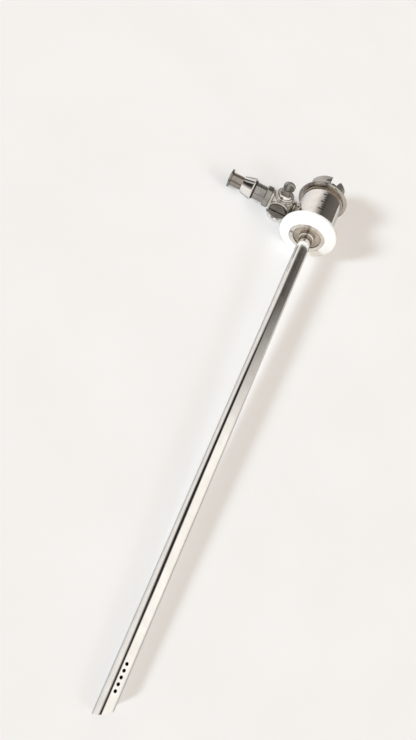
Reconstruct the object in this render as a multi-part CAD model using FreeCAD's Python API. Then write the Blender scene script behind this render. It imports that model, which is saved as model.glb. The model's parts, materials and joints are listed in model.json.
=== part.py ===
"""Arthroscope sheath: a beveled tube on a bayonet hub with a turning barrel and a stopcock.

Millimetres. The sheath's axis is +X and points to the tip, +Z is up, and the origin is on
that axis in the plane of the bayonet crown's rear edge, where the scope goes in. Angles
round the axis are counted from +Z towards -Y, the side that the stopcock is on.
"""
import FreeCAD, Part
import math
import os

# Clearances
RUNNING_GAP = 0.07
END_GAP = 0.1
SEAT_GAP = 0.03
SEAL_GAP = 0.04

# Small edge breaks
EDGE_BREAK = 0.15
SOFT_EDGE = 0.3

# Tube and its tip
TUBE_DIAMETER = 5.0
TUBE_WALL = 0.3
TUBE_REACH = 165.65
TIP_BEVEL = 26.6
TIP_LONG_SIDE = 98.0
SIDE_HOLES = 5
SIDE_HOLE_DIAMETER = 0.9
SIDE_HOLE_PITCH = 1.65
SIDE_HOLE_SETBACK = 5.55
SIDE_HOLE_ANGLE = 1.4
FERRULE_WALL = 0.35
FERRULE_LENGTH = 2.8
FERRULE_STAND = 0.8

# Lengths along the hub, from the crown's rear edge to the nose
CROWN_HEIGHT = 5.0
CROWN_SEAT_DEPTH = 0.7
RING_THICKNESS = 2.1
RING_HUB_LENGTH = 1.0
RING_RIM_WIDTH = 0.35
CORE_INSET = 1.6
CORE_FLANGE_THICKNESS = 0.55
WASHER_THICKNESS = 0.3
BARREL_LENGTH = 14.75
DISC_RIM_THICKNESS = 1.8
DISC_CONE_HEIGHT = 1.2
DISC_LIP_THICKNESS = 1.1
NOSE_FACE_INSET = 0.4
NOSE_DISH_DEPTH = 0.8
NOSE_DISH_STEPS = 4

# The scope's way through the hub, from its mouth forwards
SOCKET_RADIUS = 4.6
SOCKET_LENGTH = 4.0
MOUTH_STEP = 0.5
MOUTH_DEPTH = 4.7
SEAT_CONE_LENGTH = 3.0
SCOPE_GAP = 0.2
CHAMBER_STEP = 0.4
CHAMBER_LENGTH = 3.8
CORE_PORTS = 4
CORE_PORT_DIAMETER = 1.8
CHANNEL_DEPTH = 0.75
CHANNEL_WIDTH = 3.8

# Walls and steps of the hub, each added to the radius inside it
SLEEVE_WALL = 0.8
CROWN_WALL = 1.15
RING_HUB_WALL = 0.5
RING_WIDTH = 1.9
RING_CHAMFER = 1.25
CORE_FLANGE_WIDTH = 2.3
JOURNAL_WALL = 1.3
BARREL_WALL = 1.83
BARREL_LIP = 0.5
SPIGOT_STEP = 0.75
NUT_WIDTH = 1.7
NUT_RELIEF = 0.25
DISC_WIDTH = 4.21

# Seal rings
HUB_SEAL_SECTION = 0.72
SCOPE_SEAL_SECTION = 0.64
SEAL_GROOVE_WIDTH = 1.0
REAR_SEAL_SETBACK = 4.8
FRONT_SEAL_SETBACK = 2.2
SCOPE_SEAL_SETBACK = 2.2
SEAL_FACETS = 8

# Bayonet crown
CROWN_STATIONS = 2
ENTRY_WIDTH = 19.0
ENTRY_CENTRE = 8.0
ENTRY_DEPTH = 3.3
ENTRY_LEAD_END = -12.3
HOOK_REACH = 15.0
HOOK_THICKNESS = 1.05
HOOK_SLOT_WIDTH = 0.95
HOOK_RISE = 0.75
TALL_LOBE_END = 85.0
RAMP_END = 105.0
SHORT_LOBE_END = -48.0
SHORT_RAMP_END = -62.0
LOW_RIM_HEIGHT = 0.5
RAMP_STEPS = 5
CORE_SLOT_WIDTH = 2.4
CORE_SLOT_DEPTH = 1.6

# What holds, springs and stops the turning ring
LOCK_TURN = 16.0
CLIP_THICKNESS = 0.6
CLIP_WIDTH = 0.6
CLIP_INSET = 0.06
CLIP_OPENING = 24.0
SPRING_WIRE = 0.5
SPRING_SWEEP = 300.0
SPRING_LEG = 0.4
SPRING_POCKET_SPARE = 0.12
SPRING_POCKET_DEPTH = 0.85
STOP_PIN_DIAMETER = 0.8
STOP_PIN_LAND = 0.17
STOP_PIN_BITE = 0.4
STOP_PIN_ANGLE = 200.0
NUT_PIN_DIAMETER = 1.1
NUT_PIN_DEPTH = 1.0
NUT_PIN_ANGLE = 105.8

# Stopcock, outwards along its flow from the barrel
STOPCOCK_DROP = 13.3
FLOW_STATION = 8.25
FLOW_BORE = 2.4
SPUD_WALL = 0.75
SPUD_FLARE = 1.35
SPUD_WAIST_STEP = 0.45
SPUD_COLLAR_STEP = 0.95
SPUD_HEIGHT = 1.1
SPUD_COLLAR_THICKNESS = 0.6
BALL_RADIUS = 5.1
BALL_INLET = 4.6
OUTLET_REACH = 4.5
BOSS_HEIGHT = 4.5
BOSS_WALL = 0.93
OUTLET_WALL = 1.17
PORT_BOSS_HEIGHT = 3.9
PORT_BOSS_RIM = 0.4

# Plug and key
PLUG_WALL = 1.1
PLUG_TAPER = 0.067
PLUG_FLANGE_STEP = 0.7
PLUG_FLANGE_THICKNESS = 0.6
PLUG_SHOULDER_STEP = 0.1
PLUG_SHOULDER_THICKNESS = 0.4
PLUG_STEM_RADIUS = 0.7
PLUG_STEM_LENGTH = 1.7
PLUG_THREAD_RADIUS = 1.3
PLUG_TURN = 90.0
PLUG_PIN_DIAMETER = 0.6
PLUG_PIN_STAND = 0.5
PLUG_PIN_ANGLE = 180.0
KEY_HUB_WALL = 0.52
KEY_RADIUS = 2.2
KEY_HEIGHT = 3.6
KEY_THICKNESS = 1.4
KEY_NECK_HALF_WIDTH = 0.9
KEY_CHEEK_ANGLE = 40.0
KEY_PIN_DIAMETER = 0.6
KEY_PIN_HEIGHT = 0.9
TAB_WASHER_WIDTH = 2.27
TAB_WASHER_THICKNESS = 0.4
TAB_REACH = 0.9
TAB_WIDTH = 1.6
TAB_ANGLE = 62.0
CONE_WASHER_WIDTH = 1.67
CONE_WASHER_THICKNESS = 0.25
CONE_WASHER_RISE = 0.3
PLUG_NUT_WIDTH = 2.17
PLUG_NUT_HEIGHT = 2.0
PLUG_NUT_SLOT_WIDTH = 1.3
PLUG_NUT_SLOT_DEPTH = 1.1

# Slotted screw that closes the stopcock's third port
PORT_BORE = 2.0
PORT_SCREW_RADIUS = 3.6
PORT_SCREW_HEAD = 0.8
PORT_SCREW_SHANK_WALL = 0.9
PORT_SCREW_SHANK = 0.9
PORT_SCREW_SLOT_WIDTH = 0.6
PORT_SCREW_SLOT_DEPTH = 0.45
PORT_SEAL_THICKNESS = 0.2

# Outlet: collar, sleeve, union nut and luer connector
COLLAR_STEP = 0.55
COLLAR_LENGTH = 2.4
SLEEVE_TAIL_WALL = 1.0
SLEEVE_TAIL_LENGTH = 1.5
OUTLET_SLEEVE_STEP = 0.9
OUTLET_SLEEVE_LENGTH = 4.3
SLEEVE_GROOVES = 3
SLEEVE_GROOVE_PITCH = 0.9
SLEEVE_GROOVE_WIDTH = 0.3
SLEEVE_GROOVE_DEPTH = 0.15
SLEEVE_SPIGOT_WALL = 1.4
SLEEVE_SPIGOT_LENGTH = 1.8
UNION_SEAL_WIDTH = 0.87
UNION_SEAL_THICKNESS = 0.6
UNION_NUT_LENGTH = 4.6
UNION_NUT_BASE_WALL = 1.52
UNION_NUT_TOP_WALL = 0.67
UNION_NUT_RIM = 0.5
GASKET_THICKNESS = 0.25
LUER_SHOULDER_LENGTH = 1.0
LUER_NECK_WALL = 0.54
LUER_NECK_LENGTH = 6.6
LUER_FLANGE_STEP = 0.9
LUER_FLANGE_THICKNESS = 0.9
LUER_LUG_STAND = 0.55
LUER_LUG_WIDTH = 3.4
LUER_LUG_ANGLE = 50.0
LUER_MOUTH_RADIUS = 2.135
LUER_TAPER = 0.03
LUER_DEPTH = 7.5

# Radii of the tube and the hub
TUBE_RADIUS = TUBE_DIAMETER / 2
TUBE_BORE_RADIUS = TUBE_RADIUS - TUBE_WALL
TUBE_SEAT_RADIUS = TUBE_RADIUS + SEAT_GAP
FERRULE_RADIUS = TUBE_SEAT_RADIUS + FERRULE_WALL
THROAT_RADIUS = TUBE_RADIUS + SCOPE_GAP
CHAMBER_RADIUS = THROAT_RADIUS + CHAMBER_STEP
MOUTH_RADIUS = SOCKET_RADIUS + MOUTH_STEP
SLEEVE_RADIUS = MOUTH_RADIUS + SLEEVE_WALL
CROWN_BORE_RADIUS = SLEEVE_RADIUS + RUNNING_GAP
CROWN_RADIUS = CROWN_BORE_RADIUS + CROWN_WALL
RING_SEAT_RADIUS = CROWN_RADIUS + SEAT_GAP
RING_HUB_RADIUS = RING_SEAT_RADIUS + RING_HUB_WALL
RING_RADIUS = RING_HUB_RADIUS + RING_WIDTH
CORE_FLANGE_RADIUS = SLEEVE_RADIUS + CORE_FLANGE_WIDTH
JOURNAL_RADIUS = SOCKET_RADIUS + JOURNAL_WALL
BARREL_BORE_RADIUS = JOURNAL_RADIUS + RUNNING_GAP
BARREL_RADIUS = BARREL_BORE_RADIUS + BARREL_WALL
BARREL_LIP_RADIUS = BARREL_RADIUS + BARREL_LIP
SPIGOT_RADIUS = JOURNAL_RADIUS - SPIGOT_STEP
NUT_BORE_RADIUS = SPIGOT_RADIUS + SEAT_GAP
NUT_RADIUS = NUT_BORE_RADIUS + NUT_WIDTH
DISC_BORE_RADIUS = NUT_RADIUS + SEAT_GAP
DISC_RADIUS = DISC_BORE_RADIUS + DISC_WIDTH
CLIP_INNER_RADIUS = (SLEEVE_RADIUS + CROWN_BORE_RADIUS - CLIP_WIDTH) / 2
CLIP_OUTER_RADIUS = CLIP_INNER_RADIUS + CLIP_WIDTH
SPRING_INNER_RADIUS = CROWN_BORE_RADIUS + SEAL_GAP
SPRING_OUTER_RADIUS = SPRING_INNER_RADIUS + SPRING_WIRE
SPRING_POCKET_RADIUS = SPRING_OUTER_RADIUS + SPRING_POCKET_SPARE
STOP_SLOT_REACH = STOP_PIN_DIAMETER / 2 + SEAL_GAP
STOP_PIN_RADIUS = SPRING_POCKET_RADIUS + STOP_PIN_LAND + STOP_SLOT_REACH

# Radii of the stopcock
FLOW_BORE_RADIUS = FLOW_BORE / 2
SPUD_SPIGOT_RADIUS = FLOW_BORE_RADIUS + SPUD_WALL
PLUG_RADIUS = FLOW_BORE_RADIUS + PLUG_WALL
PLUG_TOP_RADIUS = PLUG_RADIUS + PLUG_TAPER * BOSS_HEIGHT
PLUG_FLANGE_RADIUS = PLUG_TOP_RADIUS + PLUG_FLANGE_STEP
PLUG_SHOULDER_RADIUS = PLUG_TOP_RADIUS - PLUG_SHOULDER_STEP
PLUG_PIN_RADIUS = PLUG_TOP_RADIUS + RUNNING_GAP + SEAL_GAP + PLUG_PIN_DIAMETER / 2
BOSS_RADIUS = PLUG_TOP_RADIUS + RUNNING_GAP + BOSS_WALL
KEY_HUB_RADIUS = PLUG_STEM_RADIUS + SEAT_GAP + KEY_HUB_WALL
THREAD_SEAT_RADIUS = PLUG_THREAD_RADIUS + SEAT_GAP
TAB_WASHER_RADIUS = THREAD_SEAT_RADIUS + TAB_WASHER_WIDTH
CONE_WASHER_RADIUS = THREAD_SEAT_RADIUS + CONE_WASHER_WIDTH
PLUG_NUT_RADIUS = THREAD_SEAT_RADIUS + PLUG_NUT_WIDTH
PORT_SCREW_SHANK_RADIUS = PORT_BORE / 2 + PORT_SCREW_SHANK_WALL
PORT_BOSS_RADIUS = PORT_SCREW_RADIUS + PORT_BOSS_RIM
SLEEVE_TAIL_RADIUS = FLOW_BORE_RADIUS + SLEEVE_TAIL_WALL
OUTLET_RADIUS = SLEEVE_TAIL_RADIUS + SEAT_GAP + OUTLET_WALL
COLLAR_RADIUS = OUTLET_RADIUS + COLLAR_STEP
OUTLET_SLEEVE_RADIUS = SLEEVE_TAIL_RADIUS + OUTLET_SLEEVE_STEP
SLEEVE_SPIGOT_RADIUS = FLOW_BORE_RADIUS + SLEEVE_SPIGOT_WALL
UNION_BORE_RADIUS = SLEEVE_SPIGOT_RADIUS + SEAT_GAP
UNION_SEAL_RADIUS = UNION_BORE_RADIUS + UNION_SEAL_WIDTH
UNION_NUT_BASE_RADIUS = UNION_BORE_RADIUS + UNION_NUT_BASE_WALL
LUER_FOOT_RADIUS = LUER_MOUTH_RADIUS - LUER_DEPTH * LUER_TAPER
LUER_NECK_RADIUS = LUER_FOOT_RADIUS + LUER_NECK_WALL
UNION_NUT_TOP_RADIUS = LUER_NECK_RADIUS + SEAT_GAP + UNION_NUT_TOP_WALL
LUER_FLANGE_RADIUS = LUER_NECK_RADIUS + LUER_FLANGE_STEP
LUER_LUG_RADIUS = LUER_FLANGE_RADIUS + LUER_LUG_STAND

# Stations along the hub
RING_BACK = CROWN_HEIGHT
RING_RIM_BACK = RING_BACK + RING_HUB_LENGTH
RING_FRONT = RING_BACK + RING_THICKNESS
CORE_FLANGE_BACK = RING_FRONT + END_GAP
CORE_FLANGE_FRONT = CORE_FLANGE_BACK + CORE_FLANGE_THICKNESS
WASHER_FRONT = CORE_FLANGE_FRONT + WASHER_THICKNESS
BARREL_BACK = WASHER_FRONT + END_GAP
BARREL_FRONT = BARREL_BACK + BARREL_LENGTH
DISC_BACK = BARREL_FRONT + 2 * END_GAP
DISC_RIM = DISC_BACK + DISC_RIM_THICKNESS
NOSE = DISC_RIM + DISC_CONE_HEIGHT
NUT_BACK = DISC_BACK + DISC_LIP_THICKNESS
CORE_NOSE = NOSE - NOSE_FACE_INSET
FERRULE_FRONT = CORE_NOSE + FERRULE_STAND
FERRULE_BACK = FERRULE_FRONT - FERRULE_LENGTH
FLOW_X = BARREL_BACK + FLOW_STATION
TIP_X = DISC_RIM + TUBE_REACH
SOCKET_BACK = CORE_INSET + MOUTH_DEPTH
SOCKET_FRONT = SOCKET_BACK + SOCKET_LENGTH
THROAT_BACK = SOCKET_FRONT + SEAT_CONE_LENGTH
CHAMBER_BACK = FLOW_X - CHAMBER_LENGTH / 2
CHAMBER_FRONT = FLOW_X + CHAMBER_LENGTH / 2
CLIP_BACK = RING_BACK - CLIP_THICKNESS / 2 + CLIP_INSET
CLIP_FRONT = CLIP_BACK + CLIP_THICKNESS
REAR_SEAL_X = FLOW_X - REAR_SEAL_SETBACK
FRONT_SEAL_X = BARREL_FRONT - FRONT_SEAL_SETBACK
SCOPE_SEAL_X = SOCKET_BACK + SCOPE_SEAL_SETBACK

# Stations along the stopcock, from the sheath's axis
SPUD_COLLAR_START = BARREL_RADIUS + SPUD_HEIGHT
BODY_START = SPUD_COLLAR_START + SPUD_COLLAR_THICKNESS
BALL_CENTRE = BODY_START + BALL_INLET
BODY_END = BALL_CENTRE + OUTLET_REACH
COLLAR_END = BODY_END + COLLAR_LENGTH
SLEEVE_END = COLLAR_END + OUTLET_SLEEVE_LENGTH
UNION_SEAL_END = SLEEVE_END + UNION_SEAL_THICKNESS
UNION_NUT_END = UNION_SEAL_END + UNION_NUT_LENGTH
SPIGOT_END = SLEEVE_END + SLEEVE_SPIGOT_LENGTH
LUER_BACK = SPIGOT_END + GASKET_THICKNESS
LUER_SHOULDER_END = LUER_BACK + LUER_SHOULDER_LENGTH
LUER_FLANGE_BACK = LUER_SHOULDER_END + LUER_NECK_LENGTH
LUER_END = LUER_FLANGE_BACK + LUER_FLANGE_THICKNESS

# Heights on the plug's axis, above and below the flow
FLANGE_BASE = BOSS_HEIGHT + END_GAP
FLANGE_TOP = FLANGE_BASE + PLUG_FLANGE_THICKNESS
SHOULDER_TOP = FLANGE_TOP + PLUG_SHOULDER_THICKNESS
STEM_TOP = SHOULDER_TOP + PLUG_STEM_LENGTH
TAB_WASHER_TOP = -BOSS_HEIGHT - END_GAP
CONE_WASHER_TOP = TAB_WASHER_TOP - TAB_WASHER_THICKNESS
PLUG_NUT_TOP = CONE_WASHER_TOP - CONE_WASHER_RISE - CONE_WASHER_THICKNESS
PLUG_NUT_FOOT = PLUG_NUT_TOP - PLUG_NUT_HEIGHT
PLUG_THREAD_END = PLUG_NUT_FOOT + PLUG_NUT_SLOT_DEPTH

ORIGIN = FreeCAD.Vector(0, 0, 0)
X_AXIS = FreeCAD.Vector(1, 0, 0)
Y_AXIS = FreeCAD.Vector(0, 1, 0)
Z_AXIS = FreeCAD.Vector(0, 0, 1)


def turned(axis, profile):
    """Solid of revolution of a closed (along, radius) profile about one of the axes."""
    if axis == "x":
        points = [FreeCAD.Vector(along, 0, radius) for along, radius in profile]
        direction = X_AXIS
    elif axis == "y":
        points = [FreeCAD.Vector(radius, along, 0) for along, radius in profile]
        direction = Y_AXIS
    else:
        points = [FreeCAD.Vector(radius, 0, along) for along, radius in profile]
        direction = Z_AXIS
    face = Part.Face(Part.makePolygon(points + points[:1]))
    return face.revolve(ORIGIN, direction, 360)


def ring(axis, start, end, inner, outer, edge=0.0):
    """Plain ring between two stations, with its outer edges broken by edge."""
    profile = [(start, inner), (start, outer - edge)]
    if edge:
        profile.append((start + edge, outer))
        profile.append((end - edge, outer))
    else:
        profile.append((start, outer))
    profile.append((end, outer - edge))
    profile.append((end, inner))
    clean = [profile[0]]
    for point in profile[1:]:
        if point != clean[-1]:
            clean.append(point)
    return turned(axis, clean)


def rod(base, direction, radius, length):
    """Cylinder from a base point along a direction."""
    return Part.makeCylinder(radius, length, base, direction)


def seal_ring(station, radius, section):
    """Seal ring about the sheath's axis, its round section squeezed to flats."""
    profile = []
    for index in range(SEAL_FACETS):
        angle = 2 * math.pi * (index + 0.5) / SEAL_FACETS
        profile.append((station + section * math.cos(angle), radius + section * math.sin(angle)))
    return turned("x", profile)


def turned_by(shape, angle):
    """Copy of a shape turned about the sheath's axis from +Z towards -Y."""
    copy = shape.copy()
    copy.rotate(ORIGIN, X_AXIS, angle)
    return copy


def sector(start, end, inner, outer, angle_from, angle_to):
    """Part of a ring about the sheath's axis between two angles."""
    profile = [(start, inner), (start, outer), (end, outer), (end, inner)]
    points = [FreeCAD.Vector(along, 0, radius) for along, radius in profile]
    face = Part.Face(Part.makePolygon(points + points[:1]))
    solid = face.revolve(ORIGIN, X_AXIS, angle_to - angle_from)
    solid.rotate(ORIGIN, X_AXIS, angle_from)
    return solid


def on_hub(shape):
    """Set a stopcock piece, built along +Z with the plug along +Y, on the barrel."""
    placed = shape.copy()
    placed.rotate(ORIGIN, X_AXIS, 90 + STOPCOCK_DROP)
    placed.translate(FreeCAD.Vector(FLOW_X, 0, 0))
    return placed


def flow_bore(start, end):
    """Cutter for the bore along the flow."""
    return rod(FreeCAD.Vector(0, 0, start), Z_AXIS, FLOW_BORE_RADIUS, end - start)


def at_plug(shape):
    """Move a piece turned about the plug's axis out to the ball's centre."""
    moved = shape.copy()
    moved.translate(FreeCAD.Vector(0, 0, BALL_CENTRE))
    return moved


# Tube

def sheath_tube():
    overrun = TUBE_RADIUS * math.tan(math.radians(TIP_BEVEL))
    length = TIP_X + overrun - CHAMBER_FRONT
    tube = rod(FreeCAD.Vector(CHAMBER_FRONT, 0, 0), X_AXIS, TUBE_RADIUS, length)
    tube = tube.cut(rod(FreeCAD.Vector(CHAMBER_FRONT, 0, 0), X_AXIS, TUBE_BORE_RADIUS, length))
    return tube.cut(bevel_cutter()).cut(side_hole_cutters())


def bevel_cutter():
    """Block whose near face is the tip's bevel, longest on the stopcock's side."""
    size = 4 * TUBE_DIAMETER
    corner = FreeCAD.Vector(0, -size / 2, -size / 2)
    block = Part.makeBox(size, size, size, corner)
    block.rotate(ORIGIN, Y_AXIS, TIP_BEVEL)
    block.rotate(ORIGIN, X_AXIS, TIP_LONG_SIDE)
    block.translate(FreeCAD.Vector(TIP_X, 0, 0))
    return block


def side_hole_cutters():
    last = TIP_X - SIDE_HOLE_SETBACK
    cutters = []
    for index in range(SIDE_HOLES):
        base = FreeCAD.Vector(last - index * SIDE_HOLE_PITCH, 0, 0)
        hole = rod(base, Z_AXIS, SIDE_HOLE_DIAMETER / 2, TUBE_DIAMETER)
        cutters.append(turned_by(hole, SIDE_HOLE_ANGLE))
    return Part.makeCompound(cutters)


def tube_ferrule():
    return turned("x", [
        (FERRULE_BACK, TUBE_SEAT_RADIUS),
        (FERRULE_BACK, FERRULE_RADIUS),
        (FERRULE_FRONT - SOFT_EDGE, FERRULE_RADIUS),
        (FERRULE_FRONT - SOFT_EDGE / 3, FERRULE_RADIUS - SOFT_EDGE / 3),
        (FERRULE_FRONT, FERRULE_RADIUS - SOFT_EDGE),
        (FERRULE_FRONT, TUBE_SEAT_RADIUS),
    ])


# Fixed hub

def nose_dish():
    """Profile of the hub's hollow front face, in steps from the spigot's edge to the ferrule."""
    inner = FERRULE_RADIUS + SEAT_GAP
    edge = SPIGOT_RADIUS - EDGE_BREAK
    profile = [(CORE_NOSE - EDGE_BREAK, SPIGOT_RADIUS), (CORE_NOSE, edge)]
    for step in range(NOSE_DISH_STEPS):
        radius = edge - (edge - inner) * (step + 0.5) / NOSE_DISH_STEPS
        station = CORE_NOSE - NOSE_DISH_DEPTH * step / NOSE_DISH_STEPS
        lower = CORE_NOSE - NOSE_DISH_DEPTH * (step + 1) / NOSE_DISH_STEPS
        profile += [(station, radius), (lower, radius)]
    return profile + [(CORE_NOSE - NOSE_DISH_DEPTH, inner)]


def hub_core():
    core = turned("x", [
        (CORE_INSET, MOUTH_RADIUS + EDGE_BREAK),
        (CORE_INSET, SLEEVE_RADIUS),
        (CORE_FLANGE_BACK, SLEEVE_RADIUS),
        (CORE_FLANGE_BACK, CORE_FLANGE_RADIUS),
        (CORE_FLANGE_FRONT, CORE_FLANGE_RADIUS),
        (CORE_FLANGE_FRONT, JOURNAL_RADIUS),
        (DISC_BACK, JOURNAL_RADIUS),
        (DISC_BACK, SPIGOT_RADIUS),
    ] + nose_dish() + [
        (FERRULE_BACK, FERRULE_RADIUS + SEAT_GAP),
        (FERRULE_BACK, TUBE_SEAT_RADIUS),
        (CHAMBER_FRONT, TUBE_SEAT_RADIUS),
        (CHAMBER_FRONT, CHAMBER_RADIUS),
        (CHAMBER_BACK, CHAMBER_RADIUS),
        (CHAMBER_BACK, THROAT_RADIUS),
        (THROAT_BACK, THROAT_RADIUS),
        (SOCKET_FRONT, SOCKET_RADIUS),
        (SOCKET_BACK, SOCKET_RADIUS),
        (SOCKET_BACK, MOUTH_RADIUS),
        (CORE_INSET + EDGE_BREAK, MOUTH_RADIUS),
    ])
    cutters = [core_grooves(), core_ports(), core_slots(), core_pin_hole(), spring_leg(SEAT_GAP)]
    for cutter in cutters:
        core = core.cut(cutter)
    return core


def hub_seal_groove(station):
    """Groove in the journal for one seal ring."""
    bottom = JOURNAL_RADIUS - HUB_SEAL_SECTION
    half = SEAL_GROOVE_WIDTH / 2
    return ring("x", station - half, station + half, bottom, CORE_FLANGE_RADIUS)


def core_grooves():
    half = SEAL_GROOVE_WIDTH / 2
    seal_top = SOCKET_RADIUS + SCOPE_SEAL_SECTION + SEAL_GAP
    return Part.makeCompound([
        hub_seal_groove(REAR_SEAL_X),
        hub_seal_groove(FRONT_SEAL_X),
        ring("x", SCOPE_SEAL_X - half, SCOPE_SEAL_X + half, THROAT_RADIUS, seal_top),
        clip_groove(CLIP_INNER_RADIUS, CROWN_RADIUS),
    ])


def core_ports():
    """Cross holes between the chamber round the scope and the barrel's channel."""
    cutters = []
    for index in range(CORE_PORTS):
        hole = rod(FreeCAD.Vector(FLOW_X, 0, 0), Z_AXIS, CORE_PORT_DIAMETER / 2, BARREL_RADIUS)
        cutters.append(turned_by(hole, 45 + index * 360 / CORE_PORTS))
    return Part.makeCompound(cutters)


def core_slots():
    """Straight slots in the sleeve that guide the scope's two pins."""
    cutters = []
    corner = FreeCAD.Vector(CORE_INSET - END_GAP, -CORE_SLOT_WIDTH / 2, 0)
    length = CORE_SLOT_DEPTH + END_GAP
    for index in range(CROWN_STATIONS):
        slot = Part.makeBox(length, CORE_SLOT_WIDTH, CROWN_RADIUS, corner)
        angle = ENTRY_CENTRE + HOOK_REACH + index * 360 / CROWN_STATIONS
        cutters.append(turned_by(slot, angle))
    return Part.makeCompound(cutters)


def stop_pin_base():
    return FreeCAD.Vector(CORE_FLANGE_BACK + STOP_PIN_BITE, 0, STOP_PIN_RADIUS)


def core_pin_hole():
    radius = STOP_PIN_DIAMETER / 2 + SEAT_GAP
    hole = rod(stop_pin_base(), FreeCAD.Vector(-1, 0, 0), radius, RING_THICKNESS)
    return turned_by(hole, STOP_PIN_ANGLE)


def lock_stop_pin():
    length = STOP_PIN_BITE + END_GAP + SPRING_POCKET_DEPTH - END_GAP
    pin = rod(stop_pin_base(), FreeCAD.Vector(-1, 0, 0), STOP_PIN_DIAMETER / 2, length)
    return turned_by(pin, STOP_PIN_ANGLE)


def clip_groove(start, end):
    """Groove for the clip ring, from one radius to another, with room at its sides."""
    return ring("x", CLIP_BACK - SEAL_GAP, CLIP_FRONT + SEAL_GAP, start, end)


def crown_clip_ring():
    """Flat snap ring that holds the crown on the sleeve, with its assembly opening."""
    clip = ring("x", CLIP_BACK, CLIP_FRONT, CLIP_INNER_RADIUS + SEAT_GAP, CLIP_OUTER_RADIUS)
    opening = sector(CLIP_BACK - CLIP_THICKNESS, CLIP_FRONT + CLIP_THICKNESS, MOUTH_RADIUS,
                     CROWN_RADIUS, -CLIP_OPENING / 2, CLIP_OPENING / 2)
    return clip.cut(opening)


def hub_seal_ring(station):
    section = (HUB_SEAL_SECTION - SEAL_GAP) / 2
    return seal_ring(station, JOURNAL_RADIUS - HUB_SEAL_SECTION + section, section)


def scope_seal_ring():
    section = SCOPE_SEAL_SECTION / 2
    return seal_ring(SCOPE_SEAL_X, SOCKET_RADIUS + SEAL_GAP + section, section)


def slide_washer():
    return ring("x", CORE_FLANGE_FRONT, WASHER_FRONT, BARREL_BORE_RADIUS,
                BARREL_RADIUS - 2 * SOFT_EDGE)


def nose_disc():
    edge = 2 * SOFT_EDGE
    slope = DISC_CONE_HEIGHT / (DISC_RADIUS - DISC_BORE_RADIUS)
    disc = turned("x", [
        (DISC_BACK, NUT_BORE_RADIUS),
        (DISC_BACK, DISC_RADIUS - SOFT_EDGE),
        (DISC_BACK + SOFT_EDGE, DISC_RADIUS),
        (DISC_RIM - edge, DISC_RADIUS),
        (DISC_RIM - edge / 3, DISC_RADIUS - edge / 4),
        (DISC_RIM + slope * edge, DISC_RADIUS - edge),
        (NOSE, DISC_BORE_RADIUS + EDGE_BREAK),
        (NOSE - EDGE_BREAK, DISC_BORE_RADIUS),
        (NUT_BACK, DISC_BORE_RADIUS),
        (NUT_BACK, NUT_BORE_RADIUS),
    ])
    return disc


def nose_nut():
    relief = NOSE - (NOSE - NUT_BACK) / 2
    nut = turned("x", [
        (NUT_BACK, NUT_BORE_RADIUS),
        (NUT_BACK, NUT_RADIUS),
        (NOSE - EDGE_BREAK, NUT_RADIUS),
        (NOSE, NUT_RADIUS - EDGE_BREAK),
        (NOSE, NUT_BORE_RADIUS + NUT_RELIEF + EDGE_BREAK),
        (NOSE - EDGE_BREAK, NUT_BORE_RADIUS + NUT_RELIEF),
        (relief, NUT_BORE_RADIUS + NUT_RELIEF),
        (relief, NUT_BORE_RADIUS),
    ])
    return nut.cut(nut_pin_solid(SEAT_GAP, END_GAP))


def nut_pin_solid(clearance, stand):
    """Lock pin of the nose nut, or the hole for it with a clearance."""
    middle = (NUT_BORE_RADIUS + NUT_RELIEF + NUT_RADIUS) / 2
    base = FreeCAD.Vector(NOSE - NUT_PIN_DEPTH, 0, middle)
    pin = rod(base, X_AXIS, NUT_PIN_DIAMETER / 2 + clearance, NUT_PIN_DEPTH + stand)
    return turned_by(pin, NUT_PIN_ANGLE)


def nut_lock_pin():
    return nut_pin_solid(0, -END_GAP)


# Turning ring with the bayonet crown

def crown_blank():
    return turned("x", [
        (0, CROWN_BORE_RADIUS + EDGE_BREAK),
        (0, CROWN_RADIUS - EDGE_BREAK),
        (EDGE_BREAK, CROWN_RADIUS),
        (RING_BACK + CROWN_SEAT_DEPTH, CROWN_RADIUS),
        (RING_BACK + CROWN_SEAT_DEPTH, CROWN_BORE_RADIUS),
        (EDGE_BREAK, CROWN_BORE_RADIUS),
    ])


def crown_cutters(offset):
    """What is milled from the crown round one of its entries."""
    inner = MOUTH_RADIUS
    outer = RING_RADIUS
    low = RING_BACK - LOW_RIM_HEIGHT
    near = offset + ENTRY_CENTRE - ENTRY_WIDTH / 2
    far = offset + ENTRY_CENTRE + ENTRY_WIDTH / 2
    cutters = [
        sector(-1, ENTRY_DEPTH, inner, outer, near, far),
        sector(-1, low, inner, outer,
               offset + RAMP_END, offset + 360 / CROWN_STATIONS + SHORT_RAMP_END),
    ]
    cutters += hook_slot(far, far + HOOK_REACH)
    cutters += ramp_cutters(offset + ENTRY_LEAD_END, near, ENTRY_DEPTH)
    cutters += ramp_cutters(offset + TALL_LOBE_END, offset + RAMP_END, low)
    cutters += ramp_cutters(offset + SHORT_LOBE_END, offset + SHORT_RAMP_END, low)
    return Part.makeCompound(cutters)


def hook_slot(start, end):
    """Lofts of the slanting slot under the hook, from an angle at the entry to its closed end."""
    sections = []
    for index in range(-1, RAMP_STEPS + 1):
        share = index / RAMP_STEPS
        back = HOOK_THICKNESS + HOOK_RISE * share
        angle = start + (end - start) * share
        sections.append(wall_section(angle, back, back + HOOK_SLOT_WIDTH))
    return [Part.makeLoft([near, far], True, True) for near, far in zip(sections, sections[1:])]


def ramp_cutters(angle_high, angle_low, depth):
    """Lofts that lower the crown's rear edge evenly from one angle to another."""
    sections = []
    for index in range(RAMP_STEPS + 1):
        share = index / RAMP_STEPS
        angle = angle_high + (angle_low - angle_high) * share
        sections.append(wall_section(angle, -1, depth * share))
    return [Part.makeLoft([near, far], True, True) for near, far in zip(sections, sections[1:])]


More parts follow.
